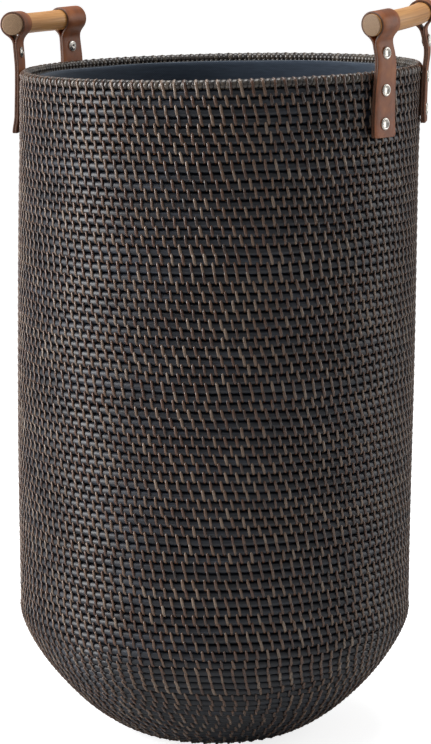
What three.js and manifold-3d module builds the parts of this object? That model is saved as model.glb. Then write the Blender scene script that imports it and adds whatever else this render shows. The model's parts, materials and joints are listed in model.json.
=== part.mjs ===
// Tall laundry hamper of coiled rattan with two leather-and-wood handles and a sewn-in fabric liner.
// Millimetres, +Z up. The origin is the centre of the flat base, on the floor. The handles are on
// the X axis, with their grips along Y; the front is -Y.
import * as THREE from "three";
import { mergeVertices } from "three/addons/utils/BufferGeometryUtils.js";
import Module from "manifold-3d";

const wasm = await Module();
wasm.setup();

// ---------------------------------------------------------------- driving dimensions

// The woven shell: a straight wall of lashed coils over a softly rounded foot.
const OUTER_RADIUS = 200; // to the outside of the coils
const RIM_HEIGHT = 675; // floor to the top of the rim coil, before the rim's own rise
const COIL_THICKNESS = 9.5; // a lashed coil, outside to inside
const FOOT_WIDTH = 119; // radial reach of the rounded foot
const FOOT_HEIGHT = 124; // height of the rounded foot
const FOOT_ROUNDNESS = 1.4; // superellipse exponent: 2 is an ellipse, 1 a straight 45-degree chamfer

// Hand weaving is never quite true: the upper wall drifts to one side and the rim rises with it.
const DRIFT = 4.6; // how far the rim's centre lies from the base's centre
const RIM_RISE = 5; // how far the rim's high side stands above RIM_HEIGHT, and its low side below
const DRIFT_AZIMUTH = THREE.MathUtils.degToRad(23.5); // direction of both, from +X towards +Y
const TRUE_HEIGHT = 250; // below this height the wall is true

// The liner: a bag of thin canvas with a folded hem, sewn in a little below the rim.
const LINER_MARGIN = 2.5; // underside of the rim coil to hem top
const LINER_STANDOFF = 3.2; // wall to liner, room for the rivets' inner ends
const CANVAS = 1.5; // bag fabric, as thick as a plain solid needs
const HEM_HEIGHT = 26;
const HEM_THICKNESS = 1.8;

// The handles: a bent wooden rod in the loops of two straps, each strap one strip doubled on
// itself.
const GRIP_LENGTH = 150; // along its bend
const GRIP_BEND = 255; // radius that the rod is bent to, round the hamper
const GRIP_RADIUS = 10.6; // at the ends, inside the loops
const GRIP_WAIST = 10.1; // radius at mid-length
const GRIP_CHAMFER = 0.8;
const GRIP_RISE = 45; // rim top to the rod's middle, with the handle upright
const STRAP_SPACING = 116; // centre to centre of the two straps
const PLY = 2.15; // one layer of leather
const LOOP_WIDTH = 29;
const NECK_WIDTH = 28; // the strap just below the loop
const TAIL_WIDTH = 33.5; // the strap's square-cut end
const TAIL_MARGIN = 13; // lower wall rivet to the strap's end
const TAIL_CORNER = 3;
const FLEX_RISE = 5.5; // rim top to the line where the leather bends
const HANDLES = [
  {
    side: "left",
    turn: Math.PI,
    lift: -1.5,
    slope: THREE.MathUtils.degToRad(-0.5),
    lean: THREE.MathUtils.degToRad(7),
  },
  {
    side: "right",
    turn: 0,
    lift: 2.5,
    slope: THREE.MathUtils.degToRad(2.3),
    lean: THREE.MathUtils.degToRad(-5),
  },
]; // lift, slope and outward lean, against the rim, are how each one was fitted and has settled
const TILT_LIMIT = THREE.MathUtils.degToRad(60); // each way from how the handle stands

// Tubular rivets: one through the doubled leather above the rim, two through leather and wall.
const RIVET_HEAD_RADIUS = 6.25;
const RIVET_HEAD_HEIGHT = 1.6;
const RIVET_RECESS_RADIUS = 3.1;
const RIVET_POST_RADIUS = 2.3;
const LOOP_RIVET_RISE = 17; // rim top to the rivet in the doubled leather
const UPPER_RIVET_DROP = 8.5; // underside of the rim coil to the upper wall rivet
const RIVET_PITCH = 32; // upper to lower wall rivet
const BURR_RADIUS = 5.5;
const BURR_THICKNESS = 1.4;
const POST_END = 0.4; // how far a post shows past its burr

// Clearances.
const GAP = 0.3; // between touching pieces
const SEAT_GAP = 0.9; // behind a flat burr on the hollow of the wall
const BEND_GAP = 0.3; // more room in a loop, because the rod bends inside it
const FLEX_GAP = 1.2; // across the bending line, for a handle that slopes and tilts
const OVERCUT = 1; // how far a cutting solid runs past what it cuts

// Fineness.
const ROUND_SEGMENTS = 48; // round the shell
const FOOT_SEGMENTS = 6; // up the rounded foot
const WALL_SEGMENTS = 3; // up the drifting part of the wall
const RIM_SEGMENTS = 10; // round the section of the rim coil
const SMALL_SEGMENTS = 12; // round a rivet
const LOOP_SEGMENTS = 16; // round a loop and a grip
const GRIP_STEPS = 12; // along a grip

// ---------------------------------------------------------------- derived sizes

const BASE_RADIUS = OUTER_RADIUS - FOOT_WIDTH;
const RIM_COIL_RADIUS = COIL_THICKNESS / 2;
const WALL_TOP = RIM_HEIGHT - COIL_THICKNESS - GAP;
const RIM_SLOPE = Math.atan((RIM_RISE * Math.sin(DRIFT_AZIMUTH)) / OUTER_RADIUS); // along +Y
const LINER_TOP = RIM_HEIGHT - COIL_THICKNESS - LINER_MARGIN;
const STRAP_THICKNESS = 2 * PLY;
const STRAP_RADIUS = OUTER_RADIUS + GAP + STRAP_THICKNESS / 2; // shell axis to the strap's middle plane
const STRAP_YAW = Math.asin(STRAP_SPACING / 2 / STRAP_RADIUS);
const FLEX_X = STRAP_RADIUS * Math.cos(STRAP_YAW);
const LOOP_TURN = Math.asin(STRAP_SPACING / 2 / GRIP_BEND); // each loop turns with the grip's bend
const BORE_RADIUS = GRIP_RADIUS + GAP + BEND_GAP;
const LOOP_RADIUS = BORE_RADIUS + PLY;
const WALL_RIVETS = {
  upper: -(COIL_THICKNESS + UPPER_RIVET_DROP),
  lower: -(COIL_THICKNESS + UPPER_RIVET_DROP + RIVET_PITCH),
}; // heights from the rim top
const TAIL_DROP = TAIL_MARGIN - WALL_RIVETS.lower; // rim top to the strap's end

// ---------------------------------------------------------------- materials

const MATERIALS = {
  coil: { color: "#2b2928", roughness: 0.55, metalness: 0 },
  lashing: { color: "#6b5546", roughness: 0.5, metalness: 0 },
  canvas: { color: "#252b33", roughness: 0.95, metalness: 0 },
  hem: { color: "#36414f", roughness: 0.95, metalness: 0 },
  leather: { color: "#8a5c42", roughness: 0.5, metalness: 0 },
  grip: { color: "#bf8a52", roughness: 0.45, metalness: 0 },
  nickel: { color: "#b9b6b0", roughness: 0.3, metalness: 1 },
};

function namedMesh(name, geometry, finish) {
  const mesh = new THREE.Mesh(geometry, new THREE.MeshStandardMaterial(MATERIALS[finish]));
  mesh.name = name;
  return mesh;
}

// ---------------------------------------------------------------- geometry helpers

// A solid of revolution about Z from points (radius, height).
function turned(points, segments) {
  return new THREE.LatheGeometry(points, segments).rotateX(Math.PI / 2);
}

// A closed geometry as a manifold-3d solid.
function toSolid(geometry) {
  const bare = geometry.clone();
  bare.deleteAttribute("normal");
  bare.deleteAttribute("uv");
  const merged = mergeVertices(bare, 1e-4);
  return new wasm.Manifold(
    new wasm.Mesh({
      numProp: 3,
      vertProperties: new Float32Array(merged.attributes.position.array),
      triVerts: new Uint32Array(merged.index.array),
    }),
  );
}

function toGeometry(solid) {
  const { vertProperties, triVerts } = solid.getMesh();
  return new THREE.BufferGeometry()
    .setAttribute("position", new THREE.BufferAttribute(vertProperties, 3))
    .setIndex(new THREE.BufferAttribute(triVerts, 1));
}

// The rounded foot's curve, from the flat base outwards and up, as (radius, height) points.
// The insets are how far the curve lies inside the wall's outside and above the floor.
function footCurve(sideInset, floorInset) {
  const points = [];
  for (let i = 0; i <= FOOT_SEGMENTS; i++) {
    const angle = (Math.PI / 2) * (1 - i / FOOT_SEGMENTS);
    const outward = Math.cos(angle) ** (2 / FOOT_ROUNDNESS);
    const downward = Math.sin(angle) ** (2 / FOOT_ROUNDNESS);
    points.push(
      new THREE.Vector2(
        BASE_RADIUS + (FOOT_WIDTH - sideInset) * outward,
        FOOT_HEIGHT - (FOOT_HEIGHT - floorInset) * downward,
      ),
    );
  }
  return points;
}

// The straight wall above the foot, from low to high, in the steps its drift needs.
function wallLine(sideInset, top) {
  const radius = OUTER_RADIUS - sideInset;
  const bottom = Math.max(FOOT_HEIGHT + OVERCUT, Math.min(TRUE_HEIGHT, top - OVERCUT));
  const points = [];
  for (let i = 0; i <= WALL_SEGMENTS; i++)
    points.push(new THREE.Vector2(radius, THREE.MathUtils.lerp(bottom, top, i / WALL_SEGMENTS)));
  return points;
}

// Where a point of the true shape lies on the hand-woven one.
function handWoven(x, y, z) {
  const climb = Math.max(0, (z - TRUE_HEIGHT) / (RIM_HEIGHT - TRUE_HEIGHT));
  const share = climb * climb;
  const uphill = (x * Math.cos(DRIFT_AZIMUTH) + y * Math.sin(DRIFT_AZIMUTH)) / OUTER_RADIUS;
  return new THREE.Vector3(
    x + DRIFT * share * Math.cos(DRIFT_AZIMUTH),
    y + DRIFT * share * Math.sin(DRIFT_AZIMUTH),
    z + RIM_RISE * share * uphill,
  );
}

// Turns a mesh of the true shape into one of the hand-woven shape, in the part's own frame.
function followWeave(mesh) {
  mesh.updateWorldMatrix(true, false);
  const geometry = mesh.geometry.clone().applyMatrix4(mesh.matrixWorld);
  const position = geometry.attributes.position;
  for (let i = 0; i < position.count; i++) {
    const woven = handWoven(position.getX(i), position.getY(i), position.getZ(i));
    position.setXYZ(i, woven.x, woven.y, woven.z);
  }
  return namedCopy(mesh, geometry);
}

function namedCopy(mesh, geometry) {
  const copy = new THREE.Mesh(geometry, mesh.material);
  copy.name = mesh.name;
  return copy;
}

// ---------------------------------------------------------------- woven shell

// A cylinder along the local Z axis from z = low to z = high.
function rod(radius, low, high, segments) {
  return new THREE.CylinderGeometry(radius, radius, high - low, segments)
    .rotateX(Math.PI / 2)
    .translate(0, 0, (low + high) / 2);
}

// The places of the rivets through the wall: azimuth about the shell's axis and height.
function wallRivetPlaces() {
  const places = [];
  for (const handle of HANDLES)
    for (const end of [-1, 1])
      for (const level of Object.keys(WALL_RIVETS))
        places.push({
          name: `${strapName(handle, end)}_${level}`,
          azimuth: handle.turn + end * STRAP_YAW,
          height: RIM_HEIGHT + WALL_RIVETS[level] + strapLift(handle, end),
        });
  return places;
}

// How much higher a strap sits than the nominal one: its handle's lift and its share of the slope.
function strapLift(handle, end) {
  const y = (end * Math.cos(handle.turn) * STRAP_SPACING) / 2;
  return handle.lift + y * Math.tan(handle.slope);
}

// A strap is named for its handle's side and for its own place, front being -Y.
function strapName(handle, end) {
  const towardsRear = handle.turn === 0 ? end : -end;
  return `${handle.side}_${towardsRear > 0 ? "rear" : "front"}`;
}

// Stands a piece that was made along Z on the radial line at an azimuth and height, Z outwards.
function aimOutwards(geometry, azimuth, height, radius) {
  return geometry
    .rotateY(Math.PI / 2)
    .translate(radius, 0, 0)
    .rotateZ(azimuth)
    .translate(0, 0, height);
}

function wovenBase() {
  const radius = BASE_RADIUS - GAP;
  return turned(
    [
      new THREE.Vector2(0, 0),
      new THREE.Vector2(radius, 0),
      new THREE.Vector2(radius, COIL_THICKNESS),
      new THREE.Vector2(0, COIL_THICKNESS),
    ],
    ROUND_SEGMENTS,
  );
}

function wovenFoot() {
  const outside = footCurve(0, 0);
  const inside = footCurve(COIL_THICKNESS, COIL_THICKNESS).reverse();
  return turned([...outside, ...inside, outside[0].clone()], ROUND_SEGMENTS);
}

function wovenWall() {
  const bottom = FOOT_HEIGHT + GAP;
  const outside = [new THREE.Vector2(OUTER_RADIUS, bottom), ...wallLine(0, WALL_TOP)];
  const innerRadius = OUTER_RADIUS - COIL_THICKNESS;
  const inside = [new THREE.Vector2(innerRadius, bottom), ...wallLine(COIL_THICKNESS, WALL_TOP)];
  inside.reverse();
  let solid = toSolid(turned([...outside, ...inside, outside[0].clone()], ROUND_SEGMENTS));
  const reach = COIL_THICKNESS + OVERCUT;
  for (const { azimuth, height } of wallRivetPlaces()) {
    const drill = rod(RIVET_POST_RADIUS + GAP, -reach, OVERCUT, SMALL_SEGMENTS);
    solid = solid.subtract(toSolid(aimOutwards(drill, azimuth, height, OUTER_RADIUS)));
  }
  return toGeometry(solid);
}

function rimCoil() {
  return new THREE.TorusGeometry(
    OUTER_RADIUS - RIM_COIL_RADIUS,
    RIM_COIL_RADIUS,
    RIM_SEGMENTS,
    ROUND_SEGMENTS,
  ).translate(0, 0, RIM_HEIGHT - RIM_COIL_RADIUS);
}

// ---------------------------------------------------------------- liner

const LINER_INSET = COIL_THICKNESS + LINER_STANDOFF;
const LINER_FLOOR = COIL_THICKNESS + GAP;

function linerBag() {
  const inner = LINER_INSET + CANVAS;
  const floor = LINER_FLOOR + CANVAS;
  const outside = [...footCurve(LINER_INSET, LINER_FLOOR), ...wallLine(LINER_INSET, LINER_TOP)];
  const inside = [...footCurve(inner, floor), ...wallLine(inner, LINER_TOP)].reverse();
  return turned(
    [new THREE.Vector2(0, LINER_FLOOR), ...outside, ...inside, new THREE.Vector2(0, floor)],
    ROUND_SEGMENTS,
  );
}

function linerHemBand() {
  const outer = OUTER_RADIUS - LINER_INSET - CANVAS - GAP;
  const inner = outer - HEM_THICKNESS;
  const low = LINER_TOP - HEM_HEIGHT;
  return turned(
    [
      new THREE.Vector2(inner, low),
      new THREE.Vector2(outer, low),
      new THREE.Vector2(outer, LINER_TOP),
      new THREE.Vector2(inner, LINER_TOP),
      new THREE.Vector2(inner, low),
    ],
    ROUND_SEGMENTS,
  );
}

// ---------------------------------------------------------------- rivets

// A tubular rivet along Z: head outwards from z = 0 with its open end recessed, post inwards.
function rivet(grip) {
  const end = -(grip + BURR_THICKNESS + POST_END);
  const floor = RIVET_HEAD_HEIGHT / 4;
  const crown = (RIVET_RECESS_RADIUS + RIVET_HEAD_RADIUS) / 2;
  return turned(
    [
      new THREE.Vector2(0, end),
      new THREE.Vector2(RIVET_POST_RADIUS, end),
      new THREE.Vector2(RIVET_POST_RADIUS, GAP / 2),
      new THREE.Vector2(RIVET_HEAD_RADIUS, GAP / 2),
      new THREE.Vector2(RIVET_HEAD_RADIUS, RIVET_HEAD_HEIGHT / 2),
      new THREE.Vector2(crown, RIVET_HEAD_HEIGHT),
      new THREE.Vector2(RIVET_RECESS_RADIUS, floor),
      new THREE.Vector2(0, floor),
    ],
    SMALL_SEGMENTS,
  );
}

// The washer that a post is spread over, along Z, its outer face at z = 0.
function burr() {
  const hole = RIVET_POST_RADIUS + GAP;
  const low = -BURR_THICKNESS;
  return turned(
    [
      new THREE.Vector2(hole, low),
      new THREE.Vector2(BURR_RADIUS, low),
      new THREE.Vector2(BURR_RADIUS, 0),
      new THREE.Vector2(hole, 0),
      new THREE.Vector2(hole, low),
    ],
    SMALL_SEGMENTS,
  );
}

function wallRivets() {
  const face = STRAP_RADIUS + STRAP_THICKNESS / 2;
  const seat = OUTER_RADIUS - COIL_THICKNESS - SEAT_GAP;
  return wallRivetPlaces().flatMap(({ name, azimuth, height }) => [
    namedMesh(`${name}_rivet`, aimOutwards(rivet(face - seat), azimuth, height, face), "nickel"),
    namedMesh(`${name}_burr`, aimOutwards(burr(), azimuth, height, seat), "nickel"),
  ]);
}

// ---------------------------------------------------------------- straps

// The strap's width at a height above the rim: it widens evenly from neck to tail.
function strapWidth(height) {
  const neck = GRIP_RISE - LOOP_RADIUS;
  const share = (neck - height) / (neck + TAIL_DROP);
  return THREE.MathUtils.lerp(NECK_WIDTH, TAIL_WIDTH, share);
}

// A strap's riveted tail, flat on the wall: both plies pressed together.
function strapTail(handle, end) {
  const top = FLEX_RISE - STRAP_THICKNESS / 2 - FLEX_GAP;
  const topHalf = strapWidth(top) / 2;
  const lowHalf = TAIL_WIDTH / 2;
  const outline = new THREE.Shape()
    .moveTo(-topHalf, top)
    .lineTo(-lowHalf, TAIL_CORNER - TAIL_DROP)
    .quadraticCurveTo(-lowHalf, -TAIL_DROP, TAIL_CORNER - lowHalf, -TAIL_DROP)
    .lineTo(lowHalf - TAIL_CORNER, -TAIL_DROP)
    .quadraticCurveTo(lowHalf, -TAIL_DROP, lowHalf, TAIL_CORNER - TAIL_DROP)
    .lineTo(topHalf, top)
    .closePath();
  for (const height of Object.values(WALL_RIVETS))
    outline.holes.push(
      new THREE.Path().absarc(0, height, RIVET_POST_RADIUS + GAP, 0, 2 * Math.PI),
    );
  return new THREE.ExtrudeGeometry(outline, {
    depth: STRAP_THICKNESS,
    bevelEnabled: false,
    curveSegments: SMALL_SEGMENTS,
  })
    .translate(0, 0, -STRAP_THICKNESS / 2)
    .rotateX(Math.PI / 2)
    .rotateZ(Math.PI / 2)
    .translate(STRAP_RADIUS, 0, 0)
    .rotateZ(handle.turn + end * STRAP_YAW)
    .translate(0, 0, RIM_HEIGHT + strapLift(handle, end));
}

// A strap's upper part in its own frame, whose origin is on the bending line: a blade of two
// plies with a wedge-shaped lower end, and a loop round the grip, centred on y = 0.
function strapLoop(end) {
  const half = STRAP_THICKNESS / 2;
  const axis = GRIP_RISE - FLEX_RISE;
  const leave = THREE.MathUtils.degToRad(-40); // where the leather leaves the ring, from level
  const merge = axis - LOOP_RADIUS - PLY; // where the two plies meet

  const ring = new THREE.Shape()
    .moveTo(half, merge - PLY)
    .lineTo(half, merge)
    .lineTo(LOOP_RADIUS * Math.cos(leave), axis + LOOP_RADIUS * Math.sin(leave))
    .absarc(0, axis, LOOP_RADIUS, leave, Math.PI - leave)
    .lineTo(-half, merge)
    .lineTo(-half, merge - PLY)
    .closePath();
  ring.holes.push(new THREE.Path().absarc(0, axis, BORE_RADIUS, 0, 2 * Math.PI));

  const blade = new THREE.Shape()
    .moveTo(half, -half)
    .lineTo(half, merge - PLY / 2)
    .lineTo(-half, merge - PLY / 2)
    .lineTo(-half, -half)
    .closePath();

  const drill = rod(RIVET_POST_RADIUS + GAP, -STRAP_THICKNESS, STRAP_THICKNESS, SMALL_SEGMENTS)
    .rotateY(Math.PI / 2)
    .translate(0, 0, LOOP_RIVET_RISE - FLEX_RISE);
  return toGeometry(
    toSolid(acrossHandle(ring, LOOP_WIDTH))
      .add(toSolid(acrossHandle(blade, NECK_WIDTH)))
      .subtract(toSolid(drill))
      .intersect(toSolid(swingRoom(half).rotateZ(-end * LOOP_TURN))),
  );
}

// The room round the bending line that stays above the line's own radius as the handle tilts
// to either limit, in the handle's frame.
function swingRoom(lowest) {
  const limit = TILT_LIMIT + Math.max(...HANDLES.map(({ lean }) => Math.abs(lean)));
  const side = 2 * LOOP_RADIUS;
  const top = GRIP_RISE + side;
  const height = (x) => (x * Math.sin(limit) - lowest) / Math.cos(limit);
  const flat = (lowest * (1 - Math.cos(limit))) / Math.sin(limit);
  const room = new THREE.Shape()
    .moveTo(flat, -lowest)
    .lineTo(side, height(side))
    .lineTo(side, Math.max(top, height(side) + OVERCUT))
    .lineTo(-side, Math.max(top, height(side) + OVERCUT))
    .lineTo(-side, height(side))
    .lineTo(-flat, -lowest)
    .closePath();
  return acrossHandle(room, 2 * LOOP_WIDTH);
}

// An outline drawn outwards and up, made as wide as given along Y and centred on y = 0.
function acrossHandle(outline, width) {
  return new THREE.ExtrudeGeometry(outline, {
    depth: width,
    bevelEnabled: false,
    curveSegments: LOOP_SEGMENTS,
  })
    .translate(0, 0, -width / 2)
    .rotateX(Math.PI / 2);
}

// ---------------------------------------------------------------- grips

// The wooden grip, along Y and bent round the hamper: full inside the loops, slightly waisted
// between them. Its middle line passes through x = 0 at the straps.
function grip() {
  const half = GRIP_LENGTH / 2;
  const bare = (STRAP_SPACING - LOOP_WIDTH) / 2;
  const profile = [
    new THREE.Vector2(0, -half),
    new THREE.Vector2(GRIP_RADIUS - GRIP_CHAMFER, -half),
    new THREE.Vector2(GRIP_RADIUS, GRIP_CHAMFER - half),
  ];
  for (let i = 1; i < GRIP_STEPS; i++) {
    const along = half * ((2 * i) / GRIP_STEPS - 1);
    const share = Math.min(1, (along / bare) ** 2);
    profile.push(new THREE.Vector2(THREE.MathUtils.lerp(GRIP_WAIST, GRIP_RADIUS, share), along));
  }
  profile.push(
    new THREE.Vector2(GRIP_RADIUS, half - GRIP_CHAMFER),
    new THREE.Vector2(GRIP_RADIUS - GRIP_CHAMFER, half),
    new THREE.Vector2(0, half),
  );
  const geometry = turned(profile, LOOP_SEGMENTS).rotateX(Math.PI / 2);
  const points = geometry.getAttribute("position");
  for (let i = 0; i < points.count; i++) {
    const turn = points.getY(i) / GRIP_BEND;
    const reach = GRIP_BEND + points.getX(i);
    const out = reach * Math.cos(turn) - GRIP_BEND * Math.cos(LOOP_TURN);
    points.setXYZ(i, out, reach * Math.sin(turn), points.getZ(i));
  }
  return geometry;
}

// ---------------------------------------------------------------- assembly

// A whole handle above its bending line: two loops, their rivets and the grip.
function handleGroup(handle) {
  const tilting = new THREE.Group();
  const woven = handWoven(FLEX_X * Math.cos(handle.turn), 0, RIM_HEIGHT);
  tilting.position.set(woven.x, woven.y, woven.z + FLEX_RISE + handle.lift);
  tilting.rotation.set(handle.slope + RIM_SLOPE, 0, handle.turn);
  const leaning = new THREE.Group();
  leaning.rotation.set(0, handle.lean, 0);
  tilting.add(leaning);

  for (const end of [-1, 1]) {
    const name = strapName(handle, end);
    const rivetHeight = LOOP_RIVET_RISE - FLEX_RISE;
    const strap = new THREE.Group();
    strap.position.set(0, (end * STRAP_SPACING) / 2, 0);
    strap.rotation.set(0, 0, end * LOOP_TURN);
    const loop = namedMesh(`${name}_strap_loop`, strapLoop(end), "leather");

    const pin = namedMesh(`${name}_loop_rivet`, rivet(STRAP_THICKNESS + GAP), "nickel");
    pin.position.set(STRAP_THICKNESS / 2, 0, rivetHeight);
    pin.rotation.set(0, Math.PI / 2, 0);

    const washer = namedMesh(`${name}_loop_burr`, burr(), "nickel");
    washer.position.set(-STRAP_THICKNESS / 2 - GAP, 0, rivetHeight);
    washer.rotation.set(0, Math.PI / 2, 0);
    strap.add(loop, pin, washer);
    leaning.add(strap);
  }

  const bar = namedMesh(`${handle.side}_grip`, grip(), "grip");
  bar.position.set(0, 0, GRIP_RISE - FLEX_RISE);
  leaning.add(bar);
  return tilting;
}

const fixedPieces = [
  namedMesh("woven_base", wovenBase(), "coil"),
  namedMesh("woven_foot", wovenFoot(), "coil"),
  namedMesh("woven_wall", wovenWall(), "coil"),
  namedMesh("rim_coil", rimCoil(), "lashing"),
  namedMesh("liner_bag", linerBag(), "canvas"),
  namedMesh("liner_hem_band", linerHemBand(), "hem"),
  ...HANDLES.flatMap((handle) =>
    [-1, 1].map((end) =>
      namedMesh(`${strapName(handle, end)}_strap_tail`, strapTail(handle, end), "leather"),
    ),
  ),
  ...wallRivets(),
];

const hamper = new THREE.Group();
hamper.add(...fixedPieces.map(followWeave), ...HANDLES.map(handleGroup));

export default hamper;
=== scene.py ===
"""Tall laundry hamper of coiled rattan, with a canvas liner and bent wooden grips in leather straps.

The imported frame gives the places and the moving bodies. This script dresses them: real coils and
lashing stitches, a draped liner, doubled leather straps, bent grips and tubular rivets.
Everything is in metres, +Z up, with the handles on X and the front at -Y.
"""

import json
import logging
import math
from dataclasses import dataclass
from enum import Enum

import bmesh
import bpy
import numpy as np
from mathutils import Matrix, Vector


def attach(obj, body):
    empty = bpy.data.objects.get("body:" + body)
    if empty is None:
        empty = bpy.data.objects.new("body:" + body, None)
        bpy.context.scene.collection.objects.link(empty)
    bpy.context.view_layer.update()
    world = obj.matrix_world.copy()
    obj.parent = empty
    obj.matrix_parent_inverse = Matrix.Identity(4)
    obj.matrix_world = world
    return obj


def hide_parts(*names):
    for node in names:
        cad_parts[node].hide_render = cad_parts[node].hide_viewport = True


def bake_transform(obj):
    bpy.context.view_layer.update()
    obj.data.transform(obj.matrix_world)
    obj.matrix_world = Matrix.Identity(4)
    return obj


LOG = logging.getLogger("hamper")
TURN = 2 * math.pi
MM = 0.001
SHELL_RADIUS = 0.200  # of the woven shell's outer face

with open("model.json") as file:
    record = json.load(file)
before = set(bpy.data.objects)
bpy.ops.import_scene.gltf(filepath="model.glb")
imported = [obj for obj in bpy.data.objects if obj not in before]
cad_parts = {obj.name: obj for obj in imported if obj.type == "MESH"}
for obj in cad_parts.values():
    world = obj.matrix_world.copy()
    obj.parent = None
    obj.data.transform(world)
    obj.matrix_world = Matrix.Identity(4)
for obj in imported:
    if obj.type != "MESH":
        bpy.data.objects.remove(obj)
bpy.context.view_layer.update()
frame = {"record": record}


# ---------------------------------------------------------------------------- small helpers


def linear(hex_colour: str) -> tuple[float, float, float, float]:
    """Turns an sRGB colour into a linear one.

    Args:
        hex_colour: six hexadecimal digits, with or without a leading #.

    Returns:
        Linear red, green, blue and an alpha of 1.
    """
    digits = hex_colour.lstrip("#")
    parts = [int(digits[i : i + 2], 16) / 255 for i in (0, 2, 4)]
    light = [c / 12.92 if c <= 0.04045 else ((c + 0.055) / 1.055) ** 2.4 for c in parts]
    return (*light, 1.0)


def add_node(
    tree: bpy.types.NodeTree, kind: str, inputs: dict | None = None, stops: tuple = (), **settings
) -> bpy.types.Node:
    """Adds a node to a tree, with its settings and links.

    Args:
        tree: the shader or geometry tree.
        kind: the node's type identifier.
        inputs: socket name or index to a value, or to an output socket to link from.
        stops: a colour ramp's colours in order, each as its place and an sRGB hex value.
        **settings: properties of the node itself.

    Returns:
        The new node.
    """
    node = tree.nodes.new(kind)
    for name, value in settings.items():
        setattr(node, name, value)
    for key, value in (inputs or {}).items():
        if isinstance(value, bpy.types.NodeSocket):
            tree.links.new(value, node.inputs[key])
        else:
            node.inputs[key].default_value = value
    if stops:
        elements = node.color_ramp.elements
        while len(elements) < len(stops):
            elements.new(0.5)
        for element, (place, colour) in zip(elements, stops):
            element.position = place
            element.color = linear(colour)
    return node


def smooth_step(low: float, high: float, value: np.ndarray | float) -> np.ndarray | float:
    """Rises smoothly from 0 at low to 1 at high.

    Args:
        low: where it is still 0; it may be the larger number.
        high: where it has reached 1.
        value: where it is wanted.

    Returns:
        The share, from 0 to 1.
    """
    share = np.clip((value - low) / (high - low), 0.0, 1.0)
    return share * share * (3 - 2 * share)


def mesh_object(name: str, points: np.ndarray, faces: list, materials: list) -> bpy.types.Object:
    """Makes a smooth-shaded mesh object at the origin, with its faces pointing outwards.

    Args:
        name: the piece's name.
        points: vertex positions, one row each.
        faces: vertex indices of each face.
        materials: the materials of its slots.

    Returns:
        The object, linked to the scene.
    """
    mesh = bpy.data.meshes.new(name)
    mesh.from_pydata([tuple(p) for p in np.asarray(points, dtype=float)], [], faces)
    shell = bmesh.new()
    shell.from_mesh(mesh)
    bmesh.ops.remove_doubles(shell, verts=shell.verts, dist=1e-6)
    bmesh.ops.recalc_face_normals(shell, faces=shell.faces)
    shell.to_mesh(mesh)
    shell.free()
    mesh.shade_smooth()
    for material in materials:
        mesh.materials.append(material)
    obj = bpy.data.objects.new(name, mesh)
    bpy.context.scene.collection.objects.link(obj)
    return obj


def swept_tube(rings: np.ndarray, closed: bool = False) -> tuple[np.ndarray, list]:
    """Skins a row of cross-sections.

    Args:
        rings: positions as (section, point round the section, xyz).
        closed: whether the last section joins the first; open ends are capped.

    Returns:
        The points and the faces.
    """
    sections, around, _ = rings.shape
    faces = []
    for i in range(sections if closed else sections - 1):
        near, far = i * around, (i + 1) % sections * around
        for j in range(around):
            k = (j + 1) % around
            faces.append((near + j, near + k, far + k, far + j))
    if not closed:
        faces.append(tuple(reversed(range(around))))
        faces.append(tuple(range((sections - 1) * around, sections * around)))
    return rings.reshape(-1, 3), faces


def report_piece(obj: bpy.types.Object) -> None:
    """Logs a finished piece and how many faces it has."""
    LOG.info("%s: %d faces", obj.name, len(obj.data.polygons))


# ---------------------------------------------------------------------------- finishes


class Material:
    """A node material on a Principled shader."""

    def __init__(self, name: str) -> None:
        """Makes the material and finds its shader.

        Args:
            name: the real finish's name.
        """
        self.data = bpy.data.materials.new(name)
        self.data.use_nodes = True
        self.tree = self.data.node_tree
        self.shader = self.tree.nodes["Principled BSDF"]
        self.place = self.add("ShaderNodeTexCoord")["Object"]

    def add(self, kind: str, inputs: dict | None = None, **settings) -> bpy.types.NodeOutputs:
        """Adds a node to this material and returns its outputs."""
        return add_node(self.tree, kind, inputs, **settings).outputs

    def feed(self, socket: str, source: bpy.types.NodeSocket) -> None:
        """Links a pattern to one of the shader's sockets."""
        self.tree.links.new(source, self.shader.inputs[socket])

    def set(self, **values: float) -> None:
        """Sets the shader's own sockets, with spaces in their names written as underscores."""
        for name, value in values.items():
            self.shader.inputs[name.replace("_", " ")].default_value = value

    def round_shell(self) -> bpy.types.NodeSocket:
        """Returns coordinates that run (round the hamper, outwards, up), in metres."""
        parts = self.add("ShaderNodeSeparateXYZ", {"Vector": self.place})
        angle = self.add("ShaderNodeMath", {0: parts["Y"], 1: parts["X"]}, operation="ARCTAN2")[0]
        along = self.add("ShaderNodeMath", {0: angle, 1: SHELL_RADIUS}, operation="MULTIPLY")[0]
        flat = self.add("ShaderNodeCombineXYZ", {"X": parts["X"], "Y": parts["Y"]})[0]
        out = self.add("ShaderNodeVectorMath", {0: flat}, operation="LENGTH")["Value"]
        return self.add("ShaderNodeCombineXYZ", {"X": along, "Y": out, "Z": parts["Z"]})[0]


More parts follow.
